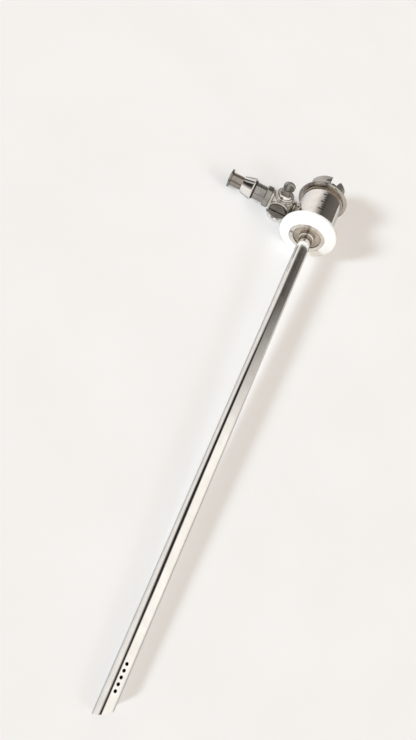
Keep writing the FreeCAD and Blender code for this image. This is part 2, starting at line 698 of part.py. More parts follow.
def wall_section(angle, back, front):
    """Upright rectangle across the crown's wall, from one station to another."""
    corners = [(back, MOUTH_RADIUS), (front, MOUTH_RADIUS), (front, RING_RADIUS),
               (back, RING_RADIUS)]
    points = [FreeCAD.Vector(along, 0, radius) for along, radius in corners]
    wire = Part.makePolygon(points + points[:1])
    wire.rotate(ORIGIN, X_AXIS, angle)
    return wire


def bayonet_crown():
    crown = crown_blank()
    for index in range(CROWN_STATIONS):
        crown = crown.cut(crown_cutters(index * 360 / CROWN_STATIONS))
    return crown.cut(clip_groove(MOUTH_RADIUS, CLIP_OUTER_RADIUS + RUNNING_GAP))


def turning_ring():
    seat = RING_BACK + CROWN_SEAT_DEPTH
    body = turned("x", [
        (RING_BACK, RING_SEAT_RADIUS),
        (RING_BACK, RING_HUB_RADIUS - EDGE_BREAK),
        (RING_BACK + EDGE_BREAK, RING_HUB_RADIUS),
        (RING_RIM_BACK, RING_HUB_RADIUS),
        (RING_RIM_BACK, RING_RADIUS - EDGE_BREAK),
        (RING_RIM_BACK + EDGE_BREAK, RING_RADIUS),
        (RING_RIM_BACK + RING_RIM_WIDTH, RING_RADIUS),
        (RING_FRONT, RING_RADIUS - RING_CHAMFER),
        (RING_FRONT, CROWN_BORE_RADIUS),
        (seat, CROWN_BORE_RADIUS),
        (seat, RING_SEAT_RADIUS),
    ])
    pocket = ring("x", RING_FRONT - SPRING_POCKET_DEPTH, RING_FRONT + END_GAP,
                  MOUTH_RADIUS, SPRING_POCKET_RADIUS)
    return body.cut(pocket).cut(stop_slot())


def stop_slot():
    """Arc slot that lets the ring turn by its lock angle about the stop pin."""
    spare = math.degrees(STOP_SLOT_REACH / STOP_PIN_RADIUS)
    return sector(RING_FRONT - SPRING_POCKET_DEPTH, RING_FRONT + END_GAP,
                  STOP_PIN_RADIUS - STOP_SLOT_REACH, STOP_PIN_RADIUS + STOP_SLOT_REACH,
                  STOP_PIN_ANGLE - LOCK_TURN - spare, STOP_PIN_ANGLE + spare)


def spring_leg(clearance):
    """Straight leg of the lock spring in the hub's flange, or the hole for it."""
    back = spring_back()
    middle = (SPRING_INNER_RADIUS + SPRING_OUTER_RADIUS) / 2
    size = SPRING_WIRE + 2 * clearance
    corner = FreeCAD.Vector(back, -size / 2, middle - size / 2)
    leg = Part.makeBox(CORE_FLANGE_BACK + SPRING_LEG + clearance - back, size, size, corner)
    return turned_by(leg, STOP_PIN_ANGLE + math.degrees(SPRING_WIRE / 2 / middle))


def spring_back():
    """Station of the lock spring's rear face, in the middle of its pocket."""
    return RING_FRONT - (SPRING_POCKET_DEPTH + SPRING_WIRE) / 2


def lock_spring():
    """Open ring of square wire in the turning ring's pocket, with one leg in the hub."""
    back = spring_back()
    wire = sector(back, back + SPRING_WIRE, SPRING_INNER_RADIUS, SPRING_OUTER_RADIUS,
                  STOP_PIN_ANGLE, STOP_PIN_ANGLE + SPRING_SWEEP)
    return wire.fuse(spring_leg(0))


# Turning barrel

def barrel():
    lip_back = BARREL_FRONT - 3 * SOFT_EDGE
    neck_back = lip_back - 2 * SOFT_EDGE
    body = turned("x", [
        (BARREL_BACK, BARREL_BORE_RADIUS),
        (BARREL_BACK, BARREL_RADIUS - SOFT_EDGE),
        (BARREL_BACK + SOFT_EDGE, BARREL_RADIUS),
        (neck_back, BARREL_RADIUS),
        (neck_back, BARREL_RADIUS - SOFT_EDGE),
        (lip_back, BARREL_RADIUS - SOFT_EDGE),
        (lip_back, BARREL_LIP_RADIUS - EDGE_BREAK),
        (lip_back + EDGE_BREAK, BARREL_LIP_RADIUS),
        (BARREL_FRONT - SOFT_EDGE, BARREL_LIP_RADIUS),
        (BARREL_FRONT, BARREL_LIP_RADIUS - SOFT_EDGE),
        (BARREL_FRONT, BARREL_BORE_RADIUS),
    ])
    channel = ring("x", FLOW_X - CHANNEL_WIDTH / 2, FLOW_X + CHANNEL_WIDTH / 2,
                   MOUTH_RADIUS - SLEEVE_WALL, BARREL_BORE_RADIUS + CHANNEL_DEPTH)
    hole = rod(ORIGIN, Z_AXIS, SPUD_SPIGOT_RADIUS + SEAT_GAP, BARREL_RADIUS + 1)
    return body.cut(channel).cut(on_hub(hole))


def stopcock_spud():
    back = BARREL_BORE_RADIUS + CHANNEL_DEPTH
    flare = SPUD_SPIGOT_RADIUS + SPUD_FLARE
    waist = SPUD_SPIGOT_RADIUS + SPUD_WAIST_STEP
    collar = SPUD_SPIGOT_RADIUS + SPUD_COLLAR_STEP
    base = turned("z", [
        (back, 0),
        (back, flare),
        (BARREL_RADIUS - SOFT_EDGE, flare),
        (SPUD_COLLAR_START, waist),
        (SPUD_COLLAR_START, collar - EDGE_BREAK),
        (SPUD_COLLAR_START + EDGE_BREAK, collar),
        (BODY_START - EDGE_BREAK, collar),
        (BODY_START, collar - EDGE_BREAK),
        (BODY_START, 0),
    ])
    span = 2 * BARREL_LENGTH
    hub = rod(FreeCAD.Vector(-BARREL_LENGTH, 0, 0), X_AXIS, BARREL_RADIUS, span)
    spigot = rod(FreeCAD.Vector(0, 0, back), Z_AXIS, SPUD_SPIGOT_RADIUS, BARREL_RADIUS - back)
    return on_hub(base.cut(hub).fuse(spigot).cut(flow_bore(back, BODY_START)))


# Stopcock body

def plug_radius(height):
    """Radius of the tapered plug at a height above the flow."""
    return PLUG_RADIUS + PLUG_TAPER * height


def ball_flats():
    """Cutters for the ball's flats, at all three ports and both ends of the plug."""
    centre = FreeCAD.Vector(0, 0, BALL_CENTRE)
    cutters = [
        rod(ORIGIN, Z_AXIS, BALL_RADIUS, BODY_START),
        rod(Z_AXIS * BODY_END, Z_AXIS, BALL_RADIUS, BALL_RADIUS),
        rod(centre + X_AXIS * PORT_BOSS_HEIGHT, X_AXIS, BALL_RADIUS, BALL_RADIUS),
    ]
    for side in (-1, 1):
        cutters.append(rod(centre + Y_AXIS * side * BOSS_HEIGHT, Y_AXIS * side, BALL_RADIUS,
                           BALL_RADIUS))
    return cutters


def stopcock_body():
    ball = Part.makeSphere(BALL_RADIUS, FreeCAD.Vector(0, 0, BALL_CENTRE))
    upright = at_plug(ring("y", -BOSS_HEIGHT, BOSS_HEIGHT, 0, BOSS_RADIUS, EDGE_BREAK))
    port = rod(FreeCAD.Vector(0, 0, BALL_CENTRE), X_AXIS, PORT_BOSS_RADIUS, PORT_BOSS_HEIGHT)
    outlet = rod(FreeCAD.Vector(0, 0, BALL_CENTRE), Z_AXIS, OUTLET_RADIUS, BODY_END - BALL_CENTRE)
    body = ball.fuse([upright, port, outlet])
    taper = at_plug(turned("y", [
        (-BOSS_HEIGHT - 1, 0),
        (-BOSS_HEIGHT - 1, plug_radius(-BOSS_HEIGHT - 1) + RUNNING_GAP),
        (BOSS_HEIGHT + 1, plug_radius(BOSS_HEIGHT + 1) + RUNNING_GAP),
        (BOSS_HEIGHT + 1, 0),
    ]))
    tail = rod(FreeCAD.Vector(0, 0, BODY_END - SLEEVE_TAIL_LENGTH - END_GAP), Z_AXIS,
               SLEEVE_TAIL_RADIUS + SEAT_GAP, SLEEVE_TAIL_LENGTH + 1)
    centre = FreeCAD.Vector(0, 0, BALL_CENTRE)
    port_bore = rod(centre, X_AXIS, PORT_BORE / 2, PORT_BOSS_HEIGHT + 1)
    thread_base = FreeCAD.Vector(PORT_BOSS_HEIGHT - PORT_SCREW_SHANK, 0, BALL_CENTRE)
    port_thread = rod(thread_base, X_AXIS, PORT_SCREW_SHANK_RADIUS + SEAT_GAP, PORT_SCREW_SHANK)
    cutters = [taper, flow_bore(BODY_START, BODY_END), tail, port_bore, port_thread]
    for cutter in ball_flats() + cutters + [plug_pin_solid(SEAT_GAP)]:
        body = body.cut(cutter)
    return on_hub(body)


def plug_pin_solid(clearance):
    """Stop pin in the top boss, or the hole for it with a clearance."""
    base = FreeCAD.Vector(PLUG_PIN_RADIUS, BOSS_HEIGHT - PLUG_PIN_STAND, 0)
    pin = rod(base, Y_AXIS, PLUG_PIN_DIAMETER / 2 + clearance, 2 * PLUG_PIN_STAND)
    pin.rotate(ORIGIN, Y_AXIS, PLUG_PIN_ANGLE)
    return at_plug(pin)


def plug_stop_pin():
    return on_hub(plug_pin_solid(0))


def port_screw():
    """Slotted screw that closes the third port, its slot along the flow."""
    seat = PORT_BOSS_HEIGHT + PORT_SEAL_THICKNESS
    face = seat + PORT_SCREW_HEAD
    screw = turned("x", [
        (PORT_BOSS_HEIGHT - PORT_SCREW_SHANK, 0),
        (PORT_BOSS_HEIGHT - PORT_SCREW_SHANK, PORT_SCREW_SHANK_RADIUS),
        (seat, PORT_SCREW_SHANK_RADIUS),
        (seat, PORT_SCREW_RADIUS),
        (face - SOFT_EDGE, PORT_SCREW_RADIUS),
        (face, PORT_SCREW_RADIUS - SOFT_EDGE),
        (face, 0),
    ])
    corner = FreeCAD.Vector(face - PORT_SCREW_SLOT_DEPTH, -PORT_SCREW_SLOT_WIDTH / 2,
                            -PORT_SCREW_RADIUS)
    slot = Part.makeBox(PORT_SCREW_HEAD, PORT_SCREW_SLOT_WIDTH, 2 * PORT_SCREW_RADIUS, corner)
    return on_hub(at_plug(screw.cut(slot)))


def port_seal():
    seal = ring("x", PORT_BOSS_HEIGHT, PORT_BOSS_HEIGHT + PORT_SEAL_THICKNESS,
                PORT_SCREW_SHANK_RADIUS + SEAT_GAP, PORT_SCREW_RADIUS - EDGE_BREAK)
    return on_hub(at_plug(seal))


# Plug, key and what holds the plug

def stopcock_plug():
    plug = turned("y", [
        (PLUG_THREAD_END, 0),
        (PLUG_THREAD_END, PLUG_THREAD_RADIUS),
        (-BOSS_HEIGHT, PLUG_THREAD_RADIUS),
        (-BOSS_HEIGHT, plug_radius(-BOSS_HEIGHT)),
        (BOSS_HEIGHT, PLUG_TOP_RADIUS),
        (FLANGE_BASE, PLUG_TOP_RADIUS),
        (FLANGE_BASE, PLUG_FLANGE_RADIUS),
        (FLANGE_TOP - EDGE_BREAK, PLUG_FLANGE_RADIUS),
        (FLANGE_TOP, PLUG_FLANGE_RADIUS - EDGE_BREAK),
        (FLANGE_TOP, PLUG_SHOULDER_RADIUS),
        (SHOULDER_TOP - EDGE_BREAK, PLUG_SHOULDER_RADIUS),
        (SHOULDER_TOP, PLUG_SHOULDER_RADIUS - EDGE_BREAK),
        (SHOULDER_TOP, PLUG_STEM_RADIUS),
        (STEM_TOP, PLUG_STEM_RADIUS),
        (STEM_TOP, 0),
    ])
    moved = at_plug(plug.cut(stop_notch()).cut(key_pin_cutter(SEAT_GAP)))
    return on_hub(moved.cut(flow_bore(BODY_START, BODY_END)))


def stop_notch():
    """Quarter of the flange's rim that is cut away for the stop pin."""
    reach = PLUG_PIN_DIAMETER / 2 + SEAL_GAP
    spare = math.degrees(reach / PLUG_PIN_RADIUS)
    inner = PLUG_PIN_RADIUS - reach
    outer = PLUG_FLANGE_RADIUS + 1
    points = [(inner, FLANGE_BASE), (outer, FLANGE_BASE),
              (outer, FLANGE_TOP + END_GAP), (inner, FLANGE_TOP + END_GAP)]
    corners = [FreeCAD.Vector(radius, height, 0) for radius, height in points]
    face = Part.Face(Part.makePolygon(corners + corners[:1]))
    notch = face.revolve(ORIGIN, Y_AXIS, PLUG_TURN + 2 * spare)
    notch.rotate(ORIGIN, Y_AXIS, PLUG_PIN_ANGLE - PLUG_TURN - spare)
    return notch


def plug_key():
    """Spade-shaped key: a round flat blade narrowing to a hub on the plug's stem."""
    base = SHOULDER_TOP + END_GAP
    centre = base + KEY_HEIGHT
    blade = Part.makeCylinder(KEY_RADIUS, KEY_THICKNESS,
                              FreeCAD.Vector(-KEY_THICKNESS / 2, centre, 0), X_AXIS)
    blade = blade.makeChamfer(SOFT_EDGE, [edge for edge in blade.Edges
                                          if edge.Curve.TypeId == "Part::GeomCircle"])
    cheek = KEY_RADIUS * math.cos(math.radians(KEY_CHEEK_ANGLE))
    cheek_height = centre - KEY_RADIUS * math.sin(math.radians(KEY_CHEEK_ANGLE))
    outline = [(-KEY_NECK_HALF_WIDTH, base + SOFT_EDGE), (KEY_NECK_HALF_WIDTH, base + SOFT_EDGE),
               (cheek - SOFT_EDGE / 2, cheek_height), (-cheek + SOFT_EDGE / 2, cheek_height)]
    corners = [FreeCAD.Vector(-KEY_THICKNESS / 2, height, across) for across, height in outline]
    neck = Part.Face(Part.makePolygon(corners + corners[:1]))
    neck = neck.extrude(FreeCAD.Vector(KEY_THICKNESS, 0, 0))
    hub = ring("y", base, STEM_TOP + SOFT_EDGE, 0, KEY_HUB_RADIUS, EDGE_BREAK)
    stem = ring("y", base - 1, STEM_TOP + END_GAP, 0, PLUG_STEM_RADIUS + SEAT_GAP)
    key = blade.fuse([neck, hub]).cut(stem).cut(key_pin_cutter(SEAT_GAP))
    return on_hub(at_plug(key))


def key_pin_cutter(clearance):
    base = FreeCAD.Vector(-KEY_HUB_RADIUS, SHOULDER_TOP + END_GAP + KEY_PIN_HEIGHT, 0)
    return rod(base, X_AXIS, KEY_PIN_DIAMETER / 2 + clearance, 2 * KEY_HUB_RADIUS)


def key_pin():
    return on_hub(at_plug(key_pin_cutter(0)))


def tab_washer():
    top = TAB_WASHER_TOP
    foot = top - TAB_WASHER_THICKNESS
    plate = ring("y", foot, top, 0, TAB_WASHER_RADIUS)
    corner = FreeCAD.Vector(0, foot, -TAB_WIDTH / 2)
    tab = Part.makeBox(TAB_WASHER_RADIUS + TAB_REACH, TAB_WASHER_THICKNESS, TAB_WIDTH, corner)
    tab.rotate(ORIGIN, Y_AXIS, -TAB_ANGLE)
    bore = ring("y", foot - 1, top + 1, 0, THREAD_SEAT_RADIUS)
    return on_hub(at_plug(plate.fuse(tab).cut(bore)))


def cone_washer():
    top = CONE_WASHER_TOP
    washer = turned("y", [
        (top, THREAD_SEAT_RADIUS),
        (top - CONE_WASHER_THICKNESS, THREAD_SEAT_RADIUS),
        (top - CONE_WASHER_THICKNESS - CONE_WASHER_RISE, CONE_WASHER_RADIUS),
        (top - CONE_WASHER_RISE, CONE_WASHER_RADIUS),
    ])
    return on_hub(at_plug(washer))


def plug_nut():
    top = PLUG_NUT_TOP
    foot = PLUG_NUT_FOOT
    nut = turned("y", [
        (top, THREAD_SEAT_RADIUS),
        (top, PLUG_NUT_RADIUS - SOFT_EDGE),
        (top - SOFT_EDGE, PLUG_NUT_RADIUS),
        (foot + SOFT_EDGE, PLUG_NUT_RADIUS),
        (foot, PLUG_NUT_RADIUS - SOFT_EDGE),
        (foot, THREAD_SEAT_RADIUS),
    ])
    corner = FreeCAD.Vector(-PLUG_NUT_RADIUS, foot, -PLUG_NUT_SLOT_WIDTH / 2)
    slot = Part.makeBox(2 * PLUG_NUT_RADIUS, PLUG_NUT_SLOT_DEPTH, PLUG_NUT_SLOT_WIDTH, corner)
    return on_hub(at_plug(nut.cut(slot)))


# Outlet

def outlet_collar():
    collar = ring("z", BODY_END, COLLAR_END, SLEEVE_TAIL_RADIUS + SEAT_GAP, COLLAR_RADIUS,
                  SOFT_EDGE)
    return on_hub(collar)


def outlet_sleeve():
    tail = BODY_END - SLEEVE_TAIL_LENGTH
    sleeve = turned("z", [
        (tail, FLOW_BORE_RADIUS),
        (tail, SLEEVE_TAIL_RADIUS),
        (COLLAR_END, SLEEVE_TAIL_RADIUS),
        (COLLAR_END, OUTLET_SLEEVE_RADIUS),
        (SLEEVE_END, OUTLET_SLEEVE_RADIUS),
        (SLEEVE_END, SLEEVE_SPIGOT_RADIUS),
        (SPIGOT_END, SLEEVE_SPIGOT_RADIUS),
        (SPIGOT_END, FLOW_BORE_RADIUS),
    ])
    grooves = []
    floor = OUTLET_SLEEVE_RADIUS - SLEEVE_GROOVE_DEPTH
    for index in range(SLEEVE_GROOVES):
        start = COLLAR_END + SOFT_EDGE + index * SLEEVE_GROOVE_PITCH
        grooves.append(ring("z", start, start + SLEEVE_GROOVE_WIDTH, floor, COLLAR_RADIUS))
    return on_hub(sleeve.cut(Part.makeCompound(grooves)))


def union_seal():
    seal = ring("z", SLEEVE_END, UNION_SEAL_END, UNION_BORE_RADIUS, UNION_SEAL_RADIUS,
                EDGE_BREAK)
    return on_hub(seal)


def hexagon(station, radius):
    """Hexagonal wire across a station of the outlet, with a corner up."""
    points = []
    for index in range(6):
        angle = math.radians(60 * index + 30)
        points.append(FreeCAD.Vector(radius * math.cos(angle), radius * math.sin(angle), station))
    return Part.makePolygon(points + points[:1])


def union_nut():
    """Hexagonal nut that tapers towards the luer connector, on a round rim."""
    rim_end = UNION_SEAL_END + UNION_NUT_RIM
    rim = ring("z", UNION_SEAL_END, rim_end, 0, UNION_NUT_BASE_RADIUS, EDGE_BREAK)
    cone = Part.makeLoft([hexagon(rim_end, UNION_NUT_BASE_RADIUS),
                          hexagon(UNION_NUT_END, UNION_NUT_TOP_RADIUS)], True, True)
    hollow = turned("z", [
        (UNION_SEAL_END - 1, 0),
        (UNION_SEAL_END - 1, UNION_BORE_RADIUS),
        (LUER_SHOULDER_END, UNION_BORE_RADIUS),
        (LUER_SHOULDER_END, LUER_NECK_RADIUS + SEAT_GAP),
        (UNION_NUT_END + 1, LUER_NECK_RADIUS + SEAT_GAP),
        (UNION_NUT_END + 1, 0),
    ])
    return on_hub(rim.fuse(cone).cut(hollow))


def luer_gasket():
    gasket = ring("z", SPIGOT_END, LUER_BACK, FLOW_BORE_RADIUS, SLEEVE_SPIGOT_RADIUS)
    return on_hub(gasket)


def luer_connector():
    """Female luer connector with two lugs and a tapered mouth."""
    taper_end = LUER_END - LUER_DEPTH
    body = turned("z", [
        (LUER_BACK, FLOW_BORE_RADIUS),
        (LUER_BACK, SLEEVE_SPIGOT_RADIUS),
        (LUER_SHOULDER_END, SLEEVE_SPIGOT_RADIUS),
        (LUER_SHOULDER_END, LUER_NECK_RADIUS),
        (LUER_FLANGE_BACK, LUER_NECK_RADIUS),
        (LUER_FLANGE_BACK + EDGE_BREAK, LUER_FLANGE_RADIUS),
        (LUER_END, LUER_FLANGE_RADIUS),
        (LUER_END, LUER_MOUTH_RADIUS),
        (taper_end, LUER_FOOT_RADIUS),
        (taper_end, FLOW_BORE_RADIUS),
    ])
    return on_hub(body.fuse(luer_lugs(taper_end)))


def luer_lugs(taper_end):
    """The two lugs, cut clear of the tapered mouth."""
    thickness = LUER_FLANGE_THICKNESS - EDGE_BREAK
    corner = FreeCAD.Vector(-LUER_LUG_RADIUS, -LUER_LUG_WIDTH / 2, LUER_END - thickness)
    bar = Part.makeBox(2 * LUER_LUG_RADIUS, LUER_LUG_WIDTH, thickness, corner)
    disc = rod(FreeCAD.Vector(0, 0, LUER_FLANGE_BACK), Z_AXIS, LUER_LUG_RADIUS,
               LUER_FLANGE_THICKNESS)
    core = rod(FreeCAD.Vector(0, 0, taper_end), Z_AXIS,
               (LUER_NECK_RADIUS + LUER_FLANGE_RADIUS) / 2, LUER_DEPTH + 1)
    lugs = bar.common(disc).cut(core)
    lugs.rotate(ORIGIN, Z_AXIS, LUER_LUG_ANGLE)
    return lugs


def sub_parts():
    """Every node's name with the function that makes its solid."""
    return {
        "sheath_tube": sheath_tube,
        "tube_ferrule": tube_ferrule,
        "hub_core": hub_core,
        "rear_hub_seal": lambda: hub_seal_ring(REAR_SEAL_X),
        "front_hub_seal": lambda: hub_seal_ring(FRONT_SEAL_X),
        "scope_seal": scope_seal_ring,
        "slide_washer": slide_washer,
        "nose_disc": nose_disc,
        "nose_nut": nose_nut,
        "nut_lock_pin": nut_lock_pin,
        "lock_spring": lock_spring,
        "lock_stop_pin": lock_stop_pin,
        "crown_clip_ring": crown_clip_ring,
        "turning_ring": turning_ring,
        "bayonet_crown": bayonet_crown,
        "barrel": barrel,
        "stopcock_spud": stopcock_spud,
        "stopcock_body": stopcock_body,
        "plug_stop_pin": plug_stop_pin,
        "port_screw": port_screw,
        "port_seal": port_seal,
        "outlet_collar": outlet_collar,
        "outlet_sleeve": outlet_sleeve,
        "union_seal": union_seal,
        "union_nut": union_nut,
        "luer_gasket": luer_gasket,
        "luer_connector": luer_connector,
        "stopcock_plug": stopcock_plug,
        "plug_key": plug_key,
        "key_pin": key_pin,
        "tab_washer": tab_washer,
        "cone_washer": cone_washer,
        "plug_nut": plug_nut,
    }


def main():
    os.makedirs("parts", exist_ok=True)
    for name, make in sub_parts().items():
        shape = make()
        if shape.ShapeType == "Compound" and len(shape.Solids) == 1:
            shape = shape.Solids[0]
        print(name, "solids", len(shape.Solids), "valid", shape.isValid(),
              "volume", round(shape.Volume, 3))
        shape.exportStep("parts/" + name + ".step")


main()
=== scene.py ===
"""Looks of an arthroscope sheath: steel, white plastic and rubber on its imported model.

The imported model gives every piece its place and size. This script copies each piece's mesh,
breaks its sharp edges, gives it true surface normals and a finish, and adds the fine pieces
that repeat or follow a surface: marks, a brazed fillet and bead, and the rims of side holes.
Sizes written here are millimetres, and MM turns them into the scene's metres.
"""
from __future__ import annotations

import json
import logging
import math
from dataclasses import dataclass
from enum import Enum
from typing import Any, Callable, ClassVar, Iterable, Sequence, Union

import bmesh
import bpy
import numpy as np
from mathutils import Matrix, Vector

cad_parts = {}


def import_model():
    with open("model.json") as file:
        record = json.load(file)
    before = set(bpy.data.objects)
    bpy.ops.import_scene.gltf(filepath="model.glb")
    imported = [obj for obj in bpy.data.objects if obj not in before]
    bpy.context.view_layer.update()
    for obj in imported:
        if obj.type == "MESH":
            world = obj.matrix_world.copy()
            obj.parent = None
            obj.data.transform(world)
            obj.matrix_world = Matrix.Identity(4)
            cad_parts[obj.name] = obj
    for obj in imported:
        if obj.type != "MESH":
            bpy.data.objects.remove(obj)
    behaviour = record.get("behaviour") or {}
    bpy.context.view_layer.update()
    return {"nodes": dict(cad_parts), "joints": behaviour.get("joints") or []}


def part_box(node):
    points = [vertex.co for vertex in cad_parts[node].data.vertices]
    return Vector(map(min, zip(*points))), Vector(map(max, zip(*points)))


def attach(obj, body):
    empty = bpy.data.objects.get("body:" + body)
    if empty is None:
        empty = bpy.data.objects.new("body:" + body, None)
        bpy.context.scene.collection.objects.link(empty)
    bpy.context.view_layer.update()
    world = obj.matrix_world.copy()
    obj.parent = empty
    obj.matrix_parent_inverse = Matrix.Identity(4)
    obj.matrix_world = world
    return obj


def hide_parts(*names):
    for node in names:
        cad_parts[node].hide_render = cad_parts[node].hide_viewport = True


log = logging.getLogger("sheath")

MM = 0.001

STOPCOCK_DROP = math.radians(13.3)
OUTWARD = Vector((0.0, -math.cos(STOPCOCK_DROP), -math.sin(STOPCOCK_DROP)))
UPRIGHT = Vector((0.0, -math.sin(STOPCOCK_DROP), math.cos(STOPCOCK_DROP)))
FORWARD = Vector((1.0, 0.0, 0.0))

Number = Union[int, float]
Span = tuple[float, float]
Colour = tuple[float, float, float]


@dataclass(frozen=True)
class Axis:
    """A line that pieces are turned about.

    Attributes:
        point: A point on the line, in metres.
        along: The line's unit direction.
    """

    point: Vector
    along: Vector

    def radial(self, place: Vector) -> Vector:
        """Return the part of a place that stands square to the line."""
        offset = place - self.point
        return offset - self.along * offset.dot(self.along)


class Body(Enum):
    """The rigid bodies that pieces ride on."""

    SHEATH = "sheath"
    LOCK_RING = "lock_ring"
    BARREL = "barrel"
    PLUG = "plug"


def add_node(tree: bpy.types.NodeTree, kind: str, settings: dict[str, Any] | None,
             inputs: dict[Any, Any] | None) -> bpy.types.Node:
    """Add a node to a tree.

    Args:
        tree: The node tree.
        kind: The node's type name.
        settings: Properties that are set first, such as an operation.
        inputs: Values or sockets for its inputs, by name or index.

    Returns:
        The new node.
    """
    made = tree.nodes.new(kind)
    for key, value in (settings or {}).items():
        setattr(made, key, value)
    for key, value in (inputs or {}).items():
        if isinstance(value, bpy.types.NodeSocket):
            tree.links.new(value, made.inputs[key])
        else:
            made.inputs[key].default_value = value
    return made


def object_of(name: str, mesh: bpy.types.Mesh) -> bpy.types.Object:
    """Make an object for a mesh and link it to the scene."""
    piece = bpy.data.objects.new(name, mesh)
    bpy.context.scene.collection.objects.link(piece)
    return piece


# Shader expressions


class Signal:
    """One output socket of a material, with arithmetic that adds Math nodes."""

    def __init__(self, graph: "ShaderGraph", socket: bpy.types.NodeSocket) -> None:
        """Wrap a socket of a graph."""
        self.graph = graph
        self.socket = socket

    def _math(self, operation: str, first: Any, second: Any = 0.0) -> "Signal":
        """Add a Math node and return its output."""
        return self.graph.node("ShaderNodeMath", {"operation": operation},
                               {0: first, 1: second})

    def __add__(self, other: "Signal | Number") -> "Signal":
        """Return the sum."""
        return self._math("ADD", self, other)

    def __radd__(self, other: Number) -> "Signal":
        """Return the sum with a number on the left."""
        return self._math("ADD", other, self)

    def __sub__(self, other: "Signal | Number") -> "Signal":
        """Return the difference."""
        return self._math("SUBTRACT", self, other)

    def __rsub__(self, other: Number) -> "Signal":
        """Return the difference with a number on the left."""
        return self._math("SUBTRACT", other, self)

    def __mul__(self, other: "Signal | Number") -> "Signal":
        """Return the product."""
        return self._math("MULTIPLY", self, other)

    def __rmul__(self, other: Number) -> "Signal":
        """Return the product with a number on the left."""
        return self._math("MULTIPLY", other, self)

    def __truediv__(self, other: "Signal | Number") -> "Signal":
        """Return the quotient."""
        return self._math("DIVIDE", self, other)

    def __rtruediv__(self, other: Number) -> "Signal":
        """Return the quotient with a number on the left."""
        return self._math("DIVIDE", other, self)

    def sine(self) -> "Signal":
        """Return the sine of the value."""
        return self._math("SINE", self)

    def between(self, low: Number, high: Number) -> "Signal":
        """Return the value mapped from low..high to 0..1 and clamped."""
        return self.graph.node("ShaderNodeMapRange", {"clamp": True},
                               {"Value": self, "From Min": low, "From Max": high})


class Ray(Enum):
    """Kinds of light rays that a shader can tell apart."""

    CAMERA = "Is Camera Ray"
    GLOSSY = "Is Glossy Ray"
    TRANSMISSION = "Is Transmission Ray"
    DIFFUSE = "Is Diffuse Ray"


class ShaderGraph:
    """A shader's node tree."""

    def __init__(self, tree: bpy.types.NodeTree, output: str) -> None:
        """Empty a tree and give it an output node of a type."""
        self.tree = tree
        self.tree.nodes.clear()
        self.output = self.tree.nodes.new(output)

    def surface(self, shader: Signal) -> None:
        """Link a shader to the tree's output."""
        self.tree.links.new(shader.socket, self.output.inputs["Surface"])

    def node(self, kind: str, settings: dict[str, Any] | None = None,
             inputs: dict[Any, Any] | None = None, output: Any = 0) -> Signal:
        """Add a node as add_node does, from values or signals, and return one of its outputs."""
        sockets = {key: value.socket if isinstance(value, Signal) else value
                   for key, value in (inputs or {}).items()}
        return Signal(self, add_node(self.tree, kind, settings, sockets).outputs[output])

    def vector(self, operation: str, first: Any, second: Any = (0.0, 0.0, 0.0),
               output: Any = 0) -> Signal:
        """Add a Vector Math node and return one of its outputs."""
        return self.node("ShaderNodeVectorMath", {"operation": operation},
                         {0: first, 1: second}, output)

    def ray(self, kind: Ray) -> Signal:
        """Return 1 for rays of a kind and 0 for all others."""
        return self.node("ShaderNodeLightPath", output=kind.value)

    def blend(self, share: Signal, first: Signal, second: Signal) -> Signal:
        """Return a shader between two shaders, by a share from 0 to 1."""
        return self.node("ShaderNodeMixShader", None, {0: share, 1: first, 2: second})

    def mix(self, share: Signal, low: Any, high: Any) -> Signal:
        """Return a colour between two signals or colours, by a share from 0 to 1."""
        low, high = (value if isinstance(value, Signal) else (*value, 1.0)
                     for value in (low, high))
        return self.node("ShaderNodeMix", {"data_type": "RGBA"}, {0: share, 6: low, 7: high},
                         output=2)


@dataclass(frozen=True)
class Mottle:
    """A noise that varies a finish.

    Attributes:
        scale: About how many patches it has on a metre.
        detail: How many finer layers it has.
        low: The noise value that becomes 0.
        high: The noise value that becomes 1.
    """

    scale: float
    detail: float
    low: float
    high: float


CLOUDS = Mottle(260.0, 2.0, 0.3, 0.72)
SPECKS = Mottle(5200.0, 2.0, 0.35, 0.65)
STREAKS = Mottle(900.0, 2.0, 0.35, 0.7)
PATCHES = Mottle(420.0, 4.0, 0.3, 0.75)
FLOOR_CLOUDS = Mottle(30.0, 4.0, 0.35, 0.75)


